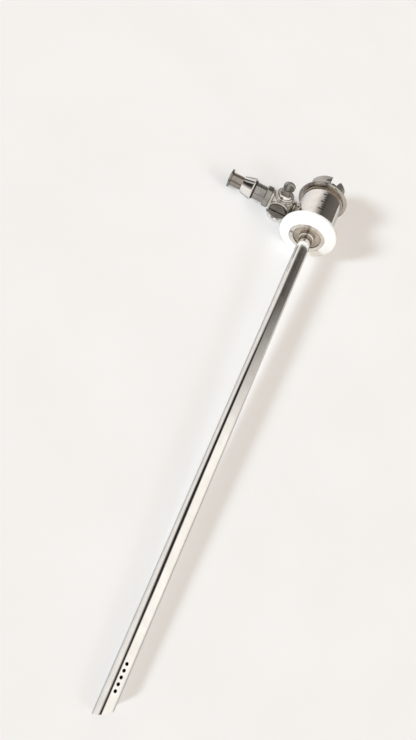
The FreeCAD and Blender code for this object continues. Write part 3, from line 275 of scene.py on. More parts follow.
class FinishGraph(ShaderGraph):
    """The node tree of one material."""

    def __init__(self, name: str) -> None:
        """Make a material of a name with an empty tree."""
        self.material = bpy.data.materials.new(name)
        self.material.use_nodes = True
        super().__init__(self.material.node_tree, "ShaderNodeOutputMaterial")

    def place(self) -> Signal:
        """Return the object coordinates, which are the frame's own."""
        return self.node("ShaderNodeTexCoord", output="Object")

    def mottle(self, kind: Mottle) -> Signal:
        """Return a noise from 0 to 1."""
        noise = self.node("ShaderNodeTexNoise", None,
                          {"Vector": self.place(), "Scale": kind.scale, "Detail": kind.detail})
        return noise.between(kind.low, kind.high)

    def along(self, axis: Axis) -> Signal:
        """Return the distance along an axis in metres."""
        return self.vector("DOT_PRODUCT", self._offset(axis), axis.along, "Value")

    def away(self, axis: Axis) -> Signal:
        """Return the distance from an axis in metres."""
        crossed = self.vector("CROSS_PRODUCT", self._offset(axis), axis.along)
        return self.vector("LENGTH", crossed, output="Value")

    def _offset(self, axis: Axis) -> Signal:
        """Return the place measured from an axis's point."""
        return self.vector("SUBTRACT", self.place(), axis.point)

    def turned_lines(self, axis: Axis, pitch: float) -> Signal:
        """Return waves from 0 to 1 round an axis, of a pitch in millimetres."""
        lines = (self.along(axis) + self.away(axis)) * (2 * math.pi / (pitch * MM))
        return lines.sine() * 0.5 + 0.5

    def bump(self, height: Signal, depth: float) -> Signal:
        """Return normals bent by a height of 0 to 1, of a depth in millimetres."""
        return self.node("ShaderNodeBump", None,
                         {"Height": height, "Distance": depth * MM, "Strength": 1.0},
                         output="Normal")

    def finish(self, inputs: dict[str, Any]) -> bpy.types.Material:
        """Add the surface shader with its inputs and return the material."""
        self.surface(self.node("ShaderNodeBsdfPrincipled", None, inputs))
        return self.material


# Finishes


@dataclass(frozen=True)
class Finish:
    """What every finish has.

    Attributes:
        name: The material's name.
        slot: The record's material slot; not used.
        light: Main colour.
        dark: Colour of the duller patches.
        gloss: Lowest and highest roughness.
        turned: Depth of the turned lines in millimetres.
        pitch: Pitch of the turned lines in millimetres.
    """

    name: str
    slot: str
    light: Colour
    dark: Colour
    gloss: Span
    turned: float = 0.0
    pitch: float = 0.12

    def make(self, axis: Axis) -> bpy.types.Material:
        """Build the material for pieces turned about an axis."""
        graph = FinishGraph(self.name)
        return graph.finish(self.inputs(graph, axis))

    def inputs(self, graph: FinishGraph, axis: Axis) -> dict[str, Any]:
        """Return the surface shader's inputs for pieces turned about an axis."""
        raise NotImplementedError

    def roughness(self, wear: Signal) -> Signal:
        """Return the roughness for a wear of 0 to 1."""
        low, high = self.gloss
        return wear * (high - low) + low


@dataclass(frozen=True)
class Steel(Finish):
    """Stainless steel, from mirror bright to blasted.

    Attributes:
        grain: Depth of the blasted grain in millimetres, in place of turned lines.
        bore: Radius in millimetres within which the metal is dull and painted dark as shade.
        edge: How much the metal still reflects where it is seen edge-on.
        CLOUD_SHARE: How much of the wear comes from clouds, the rest being specks.
        BORE_PAINTED_SHADE: Colour of the painted shade inside a bore.
        BORE_DULLING: Roughness added inside a bore.
        BORE_BLUR: Half the width of the change at a bore's radius, in millimetres.
    """

    grain: float = 0.0
    bore: float = 0.0
    edge: float = 0.6

    CLOUD_SHARE: ClassVar[float] = 0.75
    # Painted shade: a near-black colour that stands in for the shade inside a bore.
    BORE_PAINTED_SHADE: ClassVar[Colour] = (0.03, 0.028, 0.026)
    BORE_DULLING: ClassVar[float] = 0.3
    BORE_BLUR: ClassVar[float] = 0.02

    def inputs(self, graph: FinishGraph, axis: Axis) -> dict[str, Any]:
        """Vary the colour and the roughness with wear, and paint shade into a bore.

        Args:
            graph: The material's node tree.
            axis: The line that the piece was turned about.

        Returns:
            The surface shader's inputs.
        """
        specks = graph.mottle(SPECKS)
        wear = graph.mottle(CLOUDS) * self.CLOUD_SHARE + specks * (1 - self.CLOUD_SHARE)
        roughness = self.roughness(wear)
        colour = graph.mix(wear, self.light, self.dark)
        if self.bore:
            inside = graph.away(axis).between((self.bore + self.BORE_BLUR) * MM,
                                              (self.bore - self.BORE_BLUR) * MM)
            # Painted shade: the colour turns near-black within the bore's radius.
            colour = graph.mix(inside, colour, self.BORE_PAINTED_SHADE)
            roughness = roughness + inside * self.BORE_DULLING
        inputs = {
            "Base Color": colour,
            "Metallic": 1.0,
            "Roughness": roughness,
            "Specular Tint": (self.edge, self.edge, self.edge, 1.0),
        }
        if self.grain:
            inputs["Normal"] = graph.bump(specks, self.grain)
        elif self.turned:
            scratched = graph.turned_lines(axis, self.pitch) * graph.mottle(STREAKS)
            inputs["Normal"] = graph.bump(scratched, self.turned)
        return inputs


@dataclass(frozen=True)
class Plastic(Finish):
    """Turned plastic or rubber."""

    turned: float = 0.004
    pitch: float = 0.25

    def inputs(self, graph: FinishGraph, axis: Axis) -> dict[str, Any]:
        """Vary the colour and the roughness in patches, over turned lines.

        Args:
            graph: The material's node tree.
            axis: The line that the piece was turned about.

        Returns:
            The surface shader's inputs.
        """
        patches = graph.mottle(PATCHES)
        return {
            "Base Color": graph.mix(patches, self.light, self.dark),
            "Roughness": self.roughness(patches),
            "Normal": graph.bump(graph.turned_lines(axis, self.pitch) * patches, self.turned),
        }


POLISHED = Steel("polished_steel", "polished_steel", (0.92, 0.91, 0.89), (0.82, 0.80, 0.77),
                 (0.07, 0.15), turned=0.0003)
# bore=2.42 paints shade inside the tube's bore.
BRIGHT_TUBE = Steel("polished_tube", "polished_steel", (0.93, 0.92, 0.90), (0.83, 0.81, 0.79),
                    (0.08, 0.16), turned=0.0004, pitch=0.2, bore=2.42, edge=0.25)
# Painted shade: polished steel made darker to stand in for the dark surroundings that the ball
# reflects.
BALL_POLISH_PAINTED_SHADE = Steel("ball_steel_painted_shade", "polished_steel", (0.72, 0.70, 0.67), (0.60, 0.57, 0.53),
                    (0.24, 0.34), turned=0.0003)
# Painted shade: polished steel made darker to stand in for the dark surroundings that the ring
# and spud reflect.
RING_POLISH_PAINTED_SHADE = Steel("ring_steel_painted_shade", "polished_steel", (0.50, 0.47, 0.43), (0.38, 0.35, 0.31),
                    (0.12, 0.22), turned=0.0003)
LUER_POLISH = Steel("luer_steel", "polished_steel", (0.36, 0.33, 0.30), (0.26, 0.235, 0.21),
                    (0.09, 0.17), turned=0.0004)
# Painted reflection: polished steel tinted beige and darker to stand in for the shaded floor
# that the nut reflects.
NUT_POLISH_PAINTED_REFLECTION = Steel("nut_steel_painted_reflection", "polished_steel", (0.80, 0.76, 0.70), (0.68, 0.64, 0.58),
                   (0.22, 0.32), turned=0.0008)
# Painted reflection: polished steel made warm brown and darker to stand in for the shaded floor
# that the hub's dish reflects.
DISH_POLISH_PAINTED_REFLECTION = Steel("dish_steel_painted_reflection", "polished_steel", (0.60, 0.53, 0.46), (0.46, 0.40, 0.34),
                    (0.20, 0.32), turned=0.0008)
SCREW_SATIN = Steel("screw_steel", "satin_steel", (0.21, 0.195, 0.17), (0.15, 0.135, 0.115),
                    (0.34, 0.48), grain=0.005)
SATIN = Steel("satin_steel", "satin_steel", (0.46, 0.45, 0.42), (0.34, 0.33, 0.30),
              (0.34, 0.48), grain=0.006)
CROWN_SATIN = Steel("crown_steel", "satin_steel", (0.62, 0.61, 0.59), (0.48, 0.47, 0.45),
                    (0.28, 0.42), grain=0.005)
DARK = Steel("dark_steel", "dark_steel", (0.38, 0.37, 0.35), (0.27, 0.26, 0.25), (0.09, 0.18),
             turned=0.0004)
SPRING = Steel("spring_steel", "spring_steel", (0.55, 0.54, 0.52), (0.42, 0.41, 0.39),
               (0.22, 0.34))
WHITE = Plastic("white_plastic", "white_plastic", (0.93, 0.93, 0.91), (0.86, 0.86, 0.84),
                (0.38, 0.5))
RUBBER = Plastic("black_rubber", "black_rubber", (0.018, 0.018, 0.018), (0.035, 0.034, 0.033),
                 (0.45, 0.62))
INK = Plastic("mark_ink", "black_rubber", (0.012, 0.012, 0.012), (0.03, 0.03, 0.03),
              (0.4, 0.55))


# Meshes


class EdgeBreak(Enum):
    """Width in millimetres of the break along a piece's sharp edges."""

    NONE = 0.0
    FINE = 0.03
    SLIM = 0.04
    PLAIN = 0.05
    SOFT = 0.06
    ROUNDED = 0.07
    BROAD = 0.08


class PieceMaker:
    """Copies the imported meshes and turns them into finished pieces.

    Attributes:
        MERGE: Distance in metres under which corners are one.
        FLAT: Angle in radians under which neighbouring faces are one.
        SHARP: Angle in radians over which an edge is sharp.
        BREAK_FACES: Faces across a broken edge.
        ROUND: Sine of the angle within which a face's normal points from its axis.
        NEAR_FACE: Distance in metres from an axis under which a face has no side of it.
        NEAR_CORNER: The same for a corner.
    """

    MERGE = 2e-7
    FLAT = math.radians(0.6)
    SHARP = math.radians(32.0)
    BREAK_FACES = 2
    ROUND = 0.1
    NEAR_FACE = MM * 0.05
    NEAR_CORNER = MM * 0.02

    def __init__(self, nodes: dict[str, bpy.types.Object]) -> None:
        """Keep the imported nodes."""
        self.nodes = nodes

    def copy(self, node: str, axes: Sequence[Axis], edge: EdgeBreak) -> bpy.types.Object:
        """Copy a node's mesh with merged corners, broken edges and true normals.

        Args:
            node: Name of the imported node.
            axes: The lines that its surfaces are turned about.
            edge: How its sharp edges are broken.

        Returns:
            The new object, at the origin.
        """
        work = bmesh.new()
        work.from_mesh(self.nodes[node].data)
        bmesh.ops.remove_doubles(work, verts=work.verts, dist=self.MERGE)
        bmesh.ops.dissolve_limit(work, angle_limit=self.FLAT, verts=work.verts,
                                 edges=work.edges, delimit=set())
        sharp = [item for item in work.edges if len(item.link_faces) == 2
                 and item.calc_face_angle(0.0) > self.SHARP]
        if edge.value and sharp:
            bmesh.ops.bevel(work, geom=sharp, offset=edge.value * MM, offset_type="OFFSET",
                            segments=self.BREAK_FACES, profile=0.5, affect="EDGES",
                            clamp_overlap=True)
        mesh = bpy.data.meshes.new(node + "_dressed")
        work.to_mesh(mesh)
        work.free()
        self.true_normals(mesh, axes)
        return object_of(node + "_dressed", mesh)

    def true_normals(self, mesh: bpy.types.Mesh, axes: Sequence[Axis]) -> None:
        """Give each face corner the normal of the turned surface that the face lies on.

        Args:
            mesh: The mesh to change.
            axes: Candidate lines of revolution.
        """
        limit = math.cos(self.SHARP)
        wanted: list[Vector] = []
        shares: dict[int, list[tuple[Vector, float]]] = {}
        for face in mesh.polygons:
            axis = self._axis_of(face, axes)
            for index in face.vertices:
                normal = self._turned_normal(face, mesh.vertices[index].co, axis)
                wanted.append(normal)
                shares.setdefault(index, []).append((normal, face.area))
        smooth: list[Vector] = []
        corners = (index for face in mesh.polygons for index in face.vertices)
        for own, index in zip(wanted, corners):
            total = Vector((0.0, 0.0, 0.0))
            for normal, area in shares[index]:
                if own.dot(normal) > limit:
                    total += normal * area
            smooth.append(total.normalized() if total.length else own)
        mesh.polygons.foreach_set("use_smooth", [True] * len(mesh.polygons))
        mesh.normals_split_custom_set(smooth)

    def _axis_of(self, face: bpy.types.MeshPolygon, axes: Sequence[Axis]) -> Axis | None:
        """Find the line that a face is turned about.

        Args:
            face: A face of the mesh.
            axes: Candidate lines of revolution.

        Returns:
            The line whose radius the face's normal follows best, or None.
        """
        best = None
        least = self.ROUND
        for axis in axes:
            radial = axis.radial(face.center)
            if radial.length < self.NEAR_FACE:
                continue
            sideways = abs(face.normal.dot(axis.along.cross(radial.normalized())))
            outward = abs(face.normal.dot(radial.normalized()))
            if sideways < least and outward > self.ROUND:
                best, least = axis, sideways
        return best

    def _turned_normal(self, face: bpy.types.MeshPolygon, place: Vector,
                       axis: Axis | None) -> Vector:
        """Work out the normal that a turned face has at one of its corners.

        Args:
            face: A face of the mesh.
            place: The corner.
            axis: The line that the face is turned about, if there is one.

        Returns:
            The unit normal at the corner.
        """
        if axis is None:
            return face.normal.copy()
        outward = axis.radial(place)
        if outward.length < self.NEAR_CORNER:
            return face.normal.copy()
        lengthwise = face.normal.dot(axis.along)
        across = face.normal.dot(axis.radial(face.center).normalized())
        side = math.copysign(math.sqrt(max(0.0, 1.0 - lengthwise * lengthwise)), across)
        return (axis.along * lengthwise + outward.normalized() * side).normalized()


# Geometry Nodes


class GrowthTree:
    """A Geometry Nodes tree built in the script, with named inputs."""

    def __init__(self, name: str) -> None:
        """Make an empty tree of a name that gives out geometry."""
        self.tree = bpy.data.node_groups.new(name, "GeometryNodeTree")
        self.tree.interface.new_socket("Geometry", in_out="OUTPUT",
                                       socket_type="NodeSocketGeometry")
        self.inlet = self.tree.nodes.new("NodeGroupInput")
        self.outlet = self.tree.nodes.new("NodeGroupOutput")
        self.values: dict[str, Any] = {}

    def size(self, name: str, value: Any, kind: str = "NodeSocketFloat") -> None:
        """Add a named input with its value."""
        self.tree.interface.new_socket(name, in_out="INPUT", socket_type=kind)
        self.values[name] = value

    def given(self, name: str) -> bpy.types.NodeSocket:
        """Return a named input's socket inside the tree."""
        return self.inlet.outputs[name]

    def node(self, kind: str, settings: dict[str, Any] | None = None,
             inputs: dict[Any, Any] | None = None, output: Any = 0) -> bpy.types.NodeSocket:
        """Add a node as add_node does and return one of its outputs."""
        return add_node(self.tree, kind, settings, inputs).outputs[output]

    def maths(self, operation: str, first: Any, second: Any = 0.0) -> bpy.types.NodeSocket:
        """Add a Math node."""
        return self.node("ShaderNodeMath", {"operation": operation}, {0: first, 1: second})

    def row(self, count: int, pitch: float, way: str) -> bpy.types.NodeSocket:
        """Add a row of points that starts at the origin.

        Args:
            count: How many points.
            pitch: Distance between neighbours in millimetres.
            way: The coordinate along which they lie, "X" or "Z".

        Returns:
            The points.
        """
        self.size("Count", count, "NodeSocketInt")
        self.size("Pitch", pitch * MM)
        offset = self.node("ShaderNodeCombineXYZ", None, {way: self.given("Pitch")})
        return self.node("GeometryNodeMeshLine", {"mode": "OFFSET"},
                         {"Count": self.given("Count"), "Offset": offset})

    def grow(self, name: str, geometry: bpy.types.NodeSocket,
             material: bpy.types.Material) -> bpy.types.Object:
        """Finish the tree, run it and return its result as a plain mesh object.

        Args:
            name: Name of the new piece.
            geometry: The socket that holds the finished geometry.
            material: The material that the tree sets.

        Returns:
            The new object, with no modifier left on it.
        """
        real = self.node("GeometryNodeRealizeInstances", None, {"Geometry": geometry})
        dressed = self.node("GeometryNodeSetMaterial", None,
                            {"Geometry": real, "Material": material})
        self.tree.links.new(dressed, self.outlet.inputs["Geometry"])
        host = object_of(name + "_host", bpy.data.meshes.new(name + "_host"))
        modifier = host.modifiers.new("grow", "NODES")
        modifier.node_group = self.tree
        for item in self.tree.interface.items_tree:
            if item.in_out == "INPUT" and item.name in self.values:
                modifier[item.identifier] = self.values[item.name]
        bpy.context.view_layer.update()
        graph = bpy.context.evaluated_depsgraph_get()
        mesh = bpy.data.meshes.new_from_object(host.evaluated_get(graph))
        mesh.name = name
        bpy.data.objects.remove(host)
        mesh.polygons.foreach_set("use_smooth", [True] * len(mesh.polygons))
        if not mesh.materials:
            mesh.materials.append(material)
        return object_of(name, mesh)


class RingGrower:
    """Grows rings of a round section, flat ones and ones that lie on a cylinder.

    Attributes:
        RING_FACES: Faces round a flat ring.
        SADDLE_FACES: Faces round a ring on a cylinder.
        SECTION_FACES: Faces round a ring's section.
    """

    RING_FACES = 96
    SADDLE_FACES = 48
    SECTION_FACES = 10

    def ring(self, name: str, axis: Axis, finish: Finish, start: float, radius: float,
             section: float) -> bpy.types.Object:
        """Grow a flat ring about an axis.

        Args:
            name: Name of the piece.
            axis: The line that the ring lies about.
            finish: The finish it takes.
            start: Distance of the ring along the axis, in millimetres.
            radius: Middle radius in millimetres.
            section: Radius of the ring's round section in millimetres.

        Returns:
            The ring as a plain mesh object.
        """
        tree = GrowthTree(name + "_tree")
        path = self._circle(tree, "Radius", radius, self.RING_FACES)
        piece = tree.grow(name, self._sweep(tree, path, section), finish.make(axis))
        turn = Vector((0.0, 0.0, 1.0)).rotation_difference(axis.along).to_matrix().to_4x4()
        place = axis.point + axis.along * (start * MM)
        piece.data.transform(Matrix.Translation(place) @ turn)
        return piece

    def saddles(self, name: str, axis: Axis, finish: Finish, cylinder: float, radius: float,
                section: float, count: int = 1, pitch: float = 0.0) -> bpy.types.Object:
        """Grow rings that lie saddle-wise on a cylinder which runs along +X.

        Args:
            name: Name of the piece.
            axis: The line the first ring lies about, square to the cylinder.
            finish: The finish they take.
            cylinder: Radius of the cylinder in millimetres.
            radius: Middle radius of a ring in millimetres.
            section: Radius of the ring's round section in millimetres.
            count: How many rings.
            pitch: Distance between neighbours along +X in millimetres.

        Returns:
            The rings as one plain mesh object.
        """
        tree = GrowthTree(name + "_tree")
        tree.size("Cylinder", cylinder * MM)
        path = self._circle(tree, "Radius", radius, self.SADDLE_FACES)
        across = tree.node("ShaderNodeSeparateXYZ", None,
                           {0: tree.node("GeometryNodeInputPosition")}, output="Y")
        square = tree.maths("SUBTRACT", tree.maths("POWER", tree.given("Cylinder"), 2.0),
                            tree.maths("POWER", across, 2.0))
        rise = tree.node("ShaderNodeCombineXYZ", None, {"Z": tree.maths("SQRT", square)})
        path = tree.node("GeometryNodeSetPosition", None, {"Geometry": path, "Offset": rise})
        rings = tree.node("GeometryNodeInstanceOnPoints", None,
                          {"Points": tree.row(count, pitch, "X"),
                           "Instance": self._sweep(tree, path, section)})
        piece = tree.grow(name, rings, finish.make(axis))
        side = axis.along.cross(FORWARD)
        turn = Matrix((FORWARD, side, axis.along)).transposed().to_4x4()
        piece.data.transform(Matrix.Translation(axis.point) @ turn)
        return piece

    def _circle(self, tree: GrowthTree, name: str, radius: float,
                faces: int) -> bpy.types.NodeSocket:
        """Add a circle whose radius, in millimetres, is a named input."""
        tree.size(name, radius * MM)
        return tree.node("GeometryNodeCurvePrimitiveCircle", None,
                         {"Resolution": faces, "Radius": tree.given(name)})

    def _sweep(self, tree: GrowthTree, path: bpy.types.NodeSocket,
               section: float) -> bpy.types.NodeSocket:
        """Sweep a round section of a radius in millimetres along a path."""
        profile = self._circle(tree, "Section", section, self.SECTION_FACES)
        return tree.node("GeometryNodeCurveToMesh", None,
                         {"Curve": path, "Profile Curve": profile})


# Sub-assemblies


@dataclass
class Layout:
    """Lines and places that are worked out from the frame.

    Attributes:
        hub: The sheath's own axis.
        flow: The stopcock's flow axis.
        plug: The plug's axis.
        port: The axis of the third port.
    """

    hub: Axis
    flow: Axis
    plug: Axis
    port: Axis

    @classmethod
    def from_frame(cls, joints: Iterable[dict[str, Any]]) -> "Layout":
        """Work the lines out.

        Args:
            joints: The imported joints.

        Returns:
            The part's lines.
        """
        plug = next(joint for joint in joints if joint["name"] == "plug_turn")
        centre = Vector(plug["pos_m"])
        start = Vector((centre.x, 0.0, 0.0))
        return cls(Axis(Vector((0.0, 0.0, 0.0)), FORWARD), Axis(start, OUTWARD),
                   Axis(centre, UPRIGHT), Axis(centre, FORWARD))


@dataclass
class Assembly:
    """What every sub-assembly shares.

    Attributes:
        maker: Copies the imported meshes.
        grower: Grows rings.
        layout: Lines of the part.
    """

    maker: PieceMaker
    grower: RingGrower
    layout: Layout

    def dress(self, node: str, body: Body, finish: Finish, axes: Sequence[Axis],
              edge: EdgeBreak = EdgeBreak.PLAIN) -> None:
        """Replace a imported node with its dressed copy.

        Args:
            node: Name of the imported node.
            body: The body that it rides on.
            finish: Its finish.
            axes: The lines its surfaces are turned about, the main one first.
            edge: How its sharp edges are broken.
        """
        piece = self.maker.copy(node, axes, edge)
        piece.data.materials.clear()
        piece.data.materials.append(finish.make(axes[0]))
        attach(piece, body.value)
        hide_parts(node)
        log.info("dressed %s: %d faces", node, len(piece.data.polygons))

    def add(self, piece: bpy.types.Object, body: Body, finish: Finish) -> None:
        """Let an extra piece ride on a body."""
        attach(piece, body.value)
        log.info("added %s: %d faces", piece.name, len(piece.data.polygons))


@dataclass
class Tube(Assembly):
    """The outer tube with its ferrule and side holes.

    Attributes:
        hole_count: Number of side holes.
        hole_pitch: Distance between side holes in millimetres.
        hole_setback: Distance from the tip to the nearest hole in millimetres.
        hole_radius: Radius of a side hole in millimetres.
        hole_angle: Where the holes lie, in degrees from +Z towards the stopcock.
        rim_section: Radius of the polished rim round a hole in millimetres.
        rim_offset: How far a rim's middle lies outside its hole, as a share of its section.
        fillet_section: Radius of the brazed fillet at the ferrule in millimetres.
        fillet_lift: How far the fillet's middle lies off the tube in millimetres.
    """

    hole_count: int = 5
    hole_pitch: float = 1.65
    hole_setback: float = 6.8
    hole_radius: float = 0.45
    hole_angle: float = 1.4
    rim_section: float = 0.035
    rim_offset: float = 0.6
    fillet_section: float = 0.1
    fillet_lift: float = 0.02

    def build(self) -> None:
        """Dress the tube and add its fillet and the rims of its side holes."""
        hub = self.layout.hub
        self.dress("sheath_tube", Body.SHEATH, BRIGHT_TUBE, [hub], EdgeBreak.SLIM)
        self.dress("tube_ferrule", Body.SHEATH, POLISHED, [hub])
        _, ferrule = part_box("tube_ferrule")
        low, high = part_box("sheath_tube")
        radius = (high.y - low.y) / 2 / MM
        fillet = self.grower.ring("tube_fillet", hub, POLISHED, ferrule.x / MM,
                                  radius + self.fillet_lift, self.fillet_section)
        self.add(fillet, Body.SHEATH, POLISHED)
        lean = math.radians(self.hole_angle)
        last = high.x - self.hole_setback * MM
        first = last - (self.hole_count - 1) * self.hole_pitch * MM
        upward = Axis(Vector((first, 0.0, 0.0)), Vector((0.0, -math.sin(lean), math.cos(lean))))
        rims = self.grower.saddles("side_hole_rims", upward, POLISHED, radius,
                                   self.hole_radius + self.rim_section * self.rim_offset,
                                   self.rim_section, self.hole_count, self.hole_pitch)
        self.add(rims, Body.SHEATH, POLISHED)


@dataclass
class Hub(Assembly):
    """The fixed hub with its seals, disc, nut and pins."""

    def build(self) -> None:
        """Dress every piece of the hub."""
        for node, finish, edge in (("hub_core", DISH_POLISH_PAINTED_REFLECTION, EdgeBreak.PLAIN),
                                   ("rear_hub_seal", RUBBER, EdgeBreak.NONE),
                                   ("front_hub_seal", RUBBER, EdgeBreak.NONE),
                                   ("scope_seal", RUBBER, EdgeBreak.NONE),
                                   ("slide_washer", WHITE, EdgeBreak.FINE),
                                   ("nose_disc", WHITE, EdgeBreak.BROAD),
                                   ("nose_nut", NUT_POLISH_PAINTED_REFLECTION, EdgeBreak.PLAIN),
                                   ("nut_lock_pin", SATIN, EdgeBreak.SOFT),
                                   ("lock_spring", SPRING, EdgeBreak.PLAIN),
                                   ("lock_stop_pin", SATIN, EdgeBreak.PLAIN),
                                   ("crown_clip_ring", SPRING, EdgeBreak.SLIM)):
            self.dress(node, Body.SHEATH, finish, [self.layout.hub], edge)


@dataclass
class LockRing(Assembly):
    """The turning ring with the bayonet crown."""

    def build(self) -> None:
        """Dress the ring and the crown."""
        for node, finish in (("turning_ring", RING_POLISH_PAINTED_SHADE), ("bayonet_crown", CROWN_SATIN)):
            self.dress(node, Body.LOCK_RING, finish, [self.layout.hub], EdgeBreak.ROUNDED)


@dataclass
class Barrel(Assembly):
    """The turning barrel with its plain scale marks.

    Attributes:
        washer_step: How far the barrel stands out over the slide washer in millimetres.
        mark_count: Number of marks in the row.
        mark_pitch: Distance between marks in millimetres.
        mark_start: Distance from the barrel's rear edge to the first mark in millimetres.
        mark_width: Width of a mark along the barrel in millimetres.
        mark_height: How far a mark's coat reaches above and below the surface in millimetres.
        mark_angle: Where the marks begin, in degrees from +Z towards the stopcock.
        mark_sweep: Angle of a short mark in degrees.
        mark_points: Points along a mark.
        long_every: Which marks are longer: the first and each one after this many.
        long_share: How much longer they are.
    """

    washer_step: float = 0.6
    mark_count: int = 7
    mark_pitch: float = 1.2
    mark_start: float = 2.1
    mark_width: float = 0.52
    mark_height: float = 0.012
    mark_angle: float = 7.0
    mark_sweep: float = 10.0
    mark_points: int = 9
    long_every: float = 3.0
    long_share: float = 0.7

    def build(self) -> None:
        """Dress the barrel and add its marks."""
        hub, flow = self.layout.hub, self.layout.flow
        self.dress("barrel", Body.BARREL, POLISHED, [hub, flow], EdgeBreak.ROUNDED)
        self.add(self.marks(), Body.BARREL, INK)

    def marks(self) -> bpy.types.Object:
        """Grow a row of plain marks along the barrel, some of them longer.

        Returns:
            The marks as one plain mesh object.
        """
        washer_low, washer_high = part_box("slide_washer")
        barrel_low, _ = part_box("barrel")
        radius = (washer_high.z - washer_low.z) / 2 + self.washer_step * MM
        tree = GrowthTree("scale_marks_tree")
        tree.size("Radius", radius)
        tree.size("Width", self.mark_width * MM)
        tree.size("Coat", self.mark_height * 2 * MM)
        tree.size("Start angle", math.pi + math.radians(self.mark_angle))
        tree.size("Sweep", math.radians(self.mark_sweep))
        short = self.bar(tree, tree.given("Sweep"))
        long = self.bar(tree, tree.maths("MULTIPLY", tree.given("Sweep"), 1 + self.long_share))
        row = tree.row(self.mark_count, self.mark_pitch, "Z")
        turn = tree.maths("MODULO", tree.node("GeometryNodeInputIndex"), self.long_every)
        is_long = tree.node("FunctionNodeCompare", {"data_type": "FLOAT",
                                                    "operation": "LESS_THAN"},
                            {0: turn, 1: 0.5})
        is_short = tree.node("FunctionNodeBooleanMath", {"operation": "NOT"}, {0: is_long})
        join = tree.tree.nodes.new("GeometryNodeJoinGeometry")
        for bar, chosen in ((short, is_short), (long, is_long)):
            part = tree.node("GeometryNodeInstanceOnPoints", None,
                             {"Points": row, "Instance": bar, "Selection": chosen})
            tree.tree.links.new(part, join.inputs[0])
        piece = tree.grow("barrel_marks", join.outputs[0], INK.make(self.layout.hub))
        start = barrel_low.x / MM + self.mark_start
        piece.data.transform(Matrix.Translation((start * MM, 0.0, 0.0))
                             @ Matrix.Rotation(math.pi / 2, 4, "Y"))
        return piece

    def bar(self, tree: GrowthTree, sweep: bpy.types.NodeSocket) -> bpy.types.NodeSocket:
        """Grow one mark as a thin band that follows the barrel round.

        Args:
            tree: The tree of the marks.
            sweep: The mark's angle.

        Returns:
            The mark's geometry.
        """
        arc = tree.node("GeometryNodeCurveArc", {"mode": "RADIUS"},
                        {"Resolution": self.mark_points, "Radius": tree.given("Radius"),
                         "Start Angle": tree.given("Start angle"), "Sweep Angle": sweep})
        profile = tree.node("GeometryNodeCurvePrimitiveQuadrilateral", {"mode": "RECTANGLE"},
                            {"Width": tree.given("Coat"), "Height": tree.given("Width")})
        return tree.node("GeometryNodeCurveToMesh", None,
                         {"Curve": arc, "Profile Curve": profile, "Fill Caps": True})


@dataclass
class Stopcock(Assembly):
    """The stopcock's body with what is fixed to it.

    Attributes:
        bead_section: Radius of the brazed bead round the spud in millimetres.
        barrel_radius: Radius of the barrel that the bead lies on, in millimetres.
        spud_radius: Radius of the spud's foot in millimetres.
    """

    bead_section: float = 0.11
    barrel_radius: float = 7.8
    spud_radius: float = 3.3

    def build(self) -> None:
        """Dress the spud, the ball body, the screw and its seal, and add the brazed bead."""
        hub, flow = self.layout.hub, self.layout.flow
        plug, port = self.layout.plug, self.layout.port
        self.dress("stopcock_spud", Body.BARREL, RING_POLISH_PAINTED_SHADE, [flow, hub])
        self.dress("stopcock_body", Body.BARREL, BALL_POLISH_PAINTED_SHADE, [flow, plug, port])
        self.dress("plug_stop_pin", Body.BARREL, SATIN, [plug])
        self.dress("port_screw", Body.BARREL, SCREW_SATIN, [port], EdgeBreak.ROUNDED)
        self.dress("port_seal", Body.BARREL, WHITE, [port], EdgeBreak.FINE)
        bead = self.grower.saddles("spud_bead", flow, POLISHED, self.barrel_radius,
                                   self.spud_radius, self.bead_section)
        self.add(bead, Body.BARREL, POLISHED)


@dataclass
class Outlet(Assembly):
    """The outlet from the body to the luer connector."""

    def build(self) -> None:
        """Dress the outlet's pieces."""
        for node, finish, edge in (("outlet_collar", DARK, EdgeBreak.SOFT),
                                   ("outlet_sleeve", DARK, EdgeBreak.FINE),
                                   ("union_seal", RUBBER, EdgeBreak.PLAIN),
                                   ("union_nut", POLISHED, EdgeBreak.ROUNDED),
                                   ("luer_gasket", WHITE, EdgeBreak.FINE),
                                   ("luer_connector", LUER_POLISH, EdgeBreak.PLAIN)):
            self.dress(node, Body.BARREL, finish, [self.layout.flow], edge)


@dataclass
class Key(Assembly):
    """The plug with its key and what holds it.

    Attributes:
        blade_height: Height of the key's round blade above the flow in millimetres.
    """

    blade_height: float = 9.3

    def build(self) -> None:
        """Dress the plug, the key, the washers and the nut."""
        flow, plug = self.layout.flow, self.layout.plug
        blade = Axis(plug.point + plug.along * (self.blade_height * MM), FORWARD)
        self.dress("stopcock_plug", Body.PLUG, POLISHED, [plug, flow])
        self.dress("plug_key", Body.PLUG, SATIN, [plug, blade], EdgeBreak.ROUNDED)
        self.dress("key_pin", Body.PLUG, SATIN, [blade], EdgeBreak.SLIM)
        self.dress("tab_washer", Body.PLUG, POLISHED, [plug])
        self.dress("cone_washer", Body.PLUG, SPRING, [plug], EdgeBreak.FINE)
        self.dress("plug_nut", Body.PLUG, POLISHED, [plug], EdgeBreak.ROUNDED)


# Surroundings


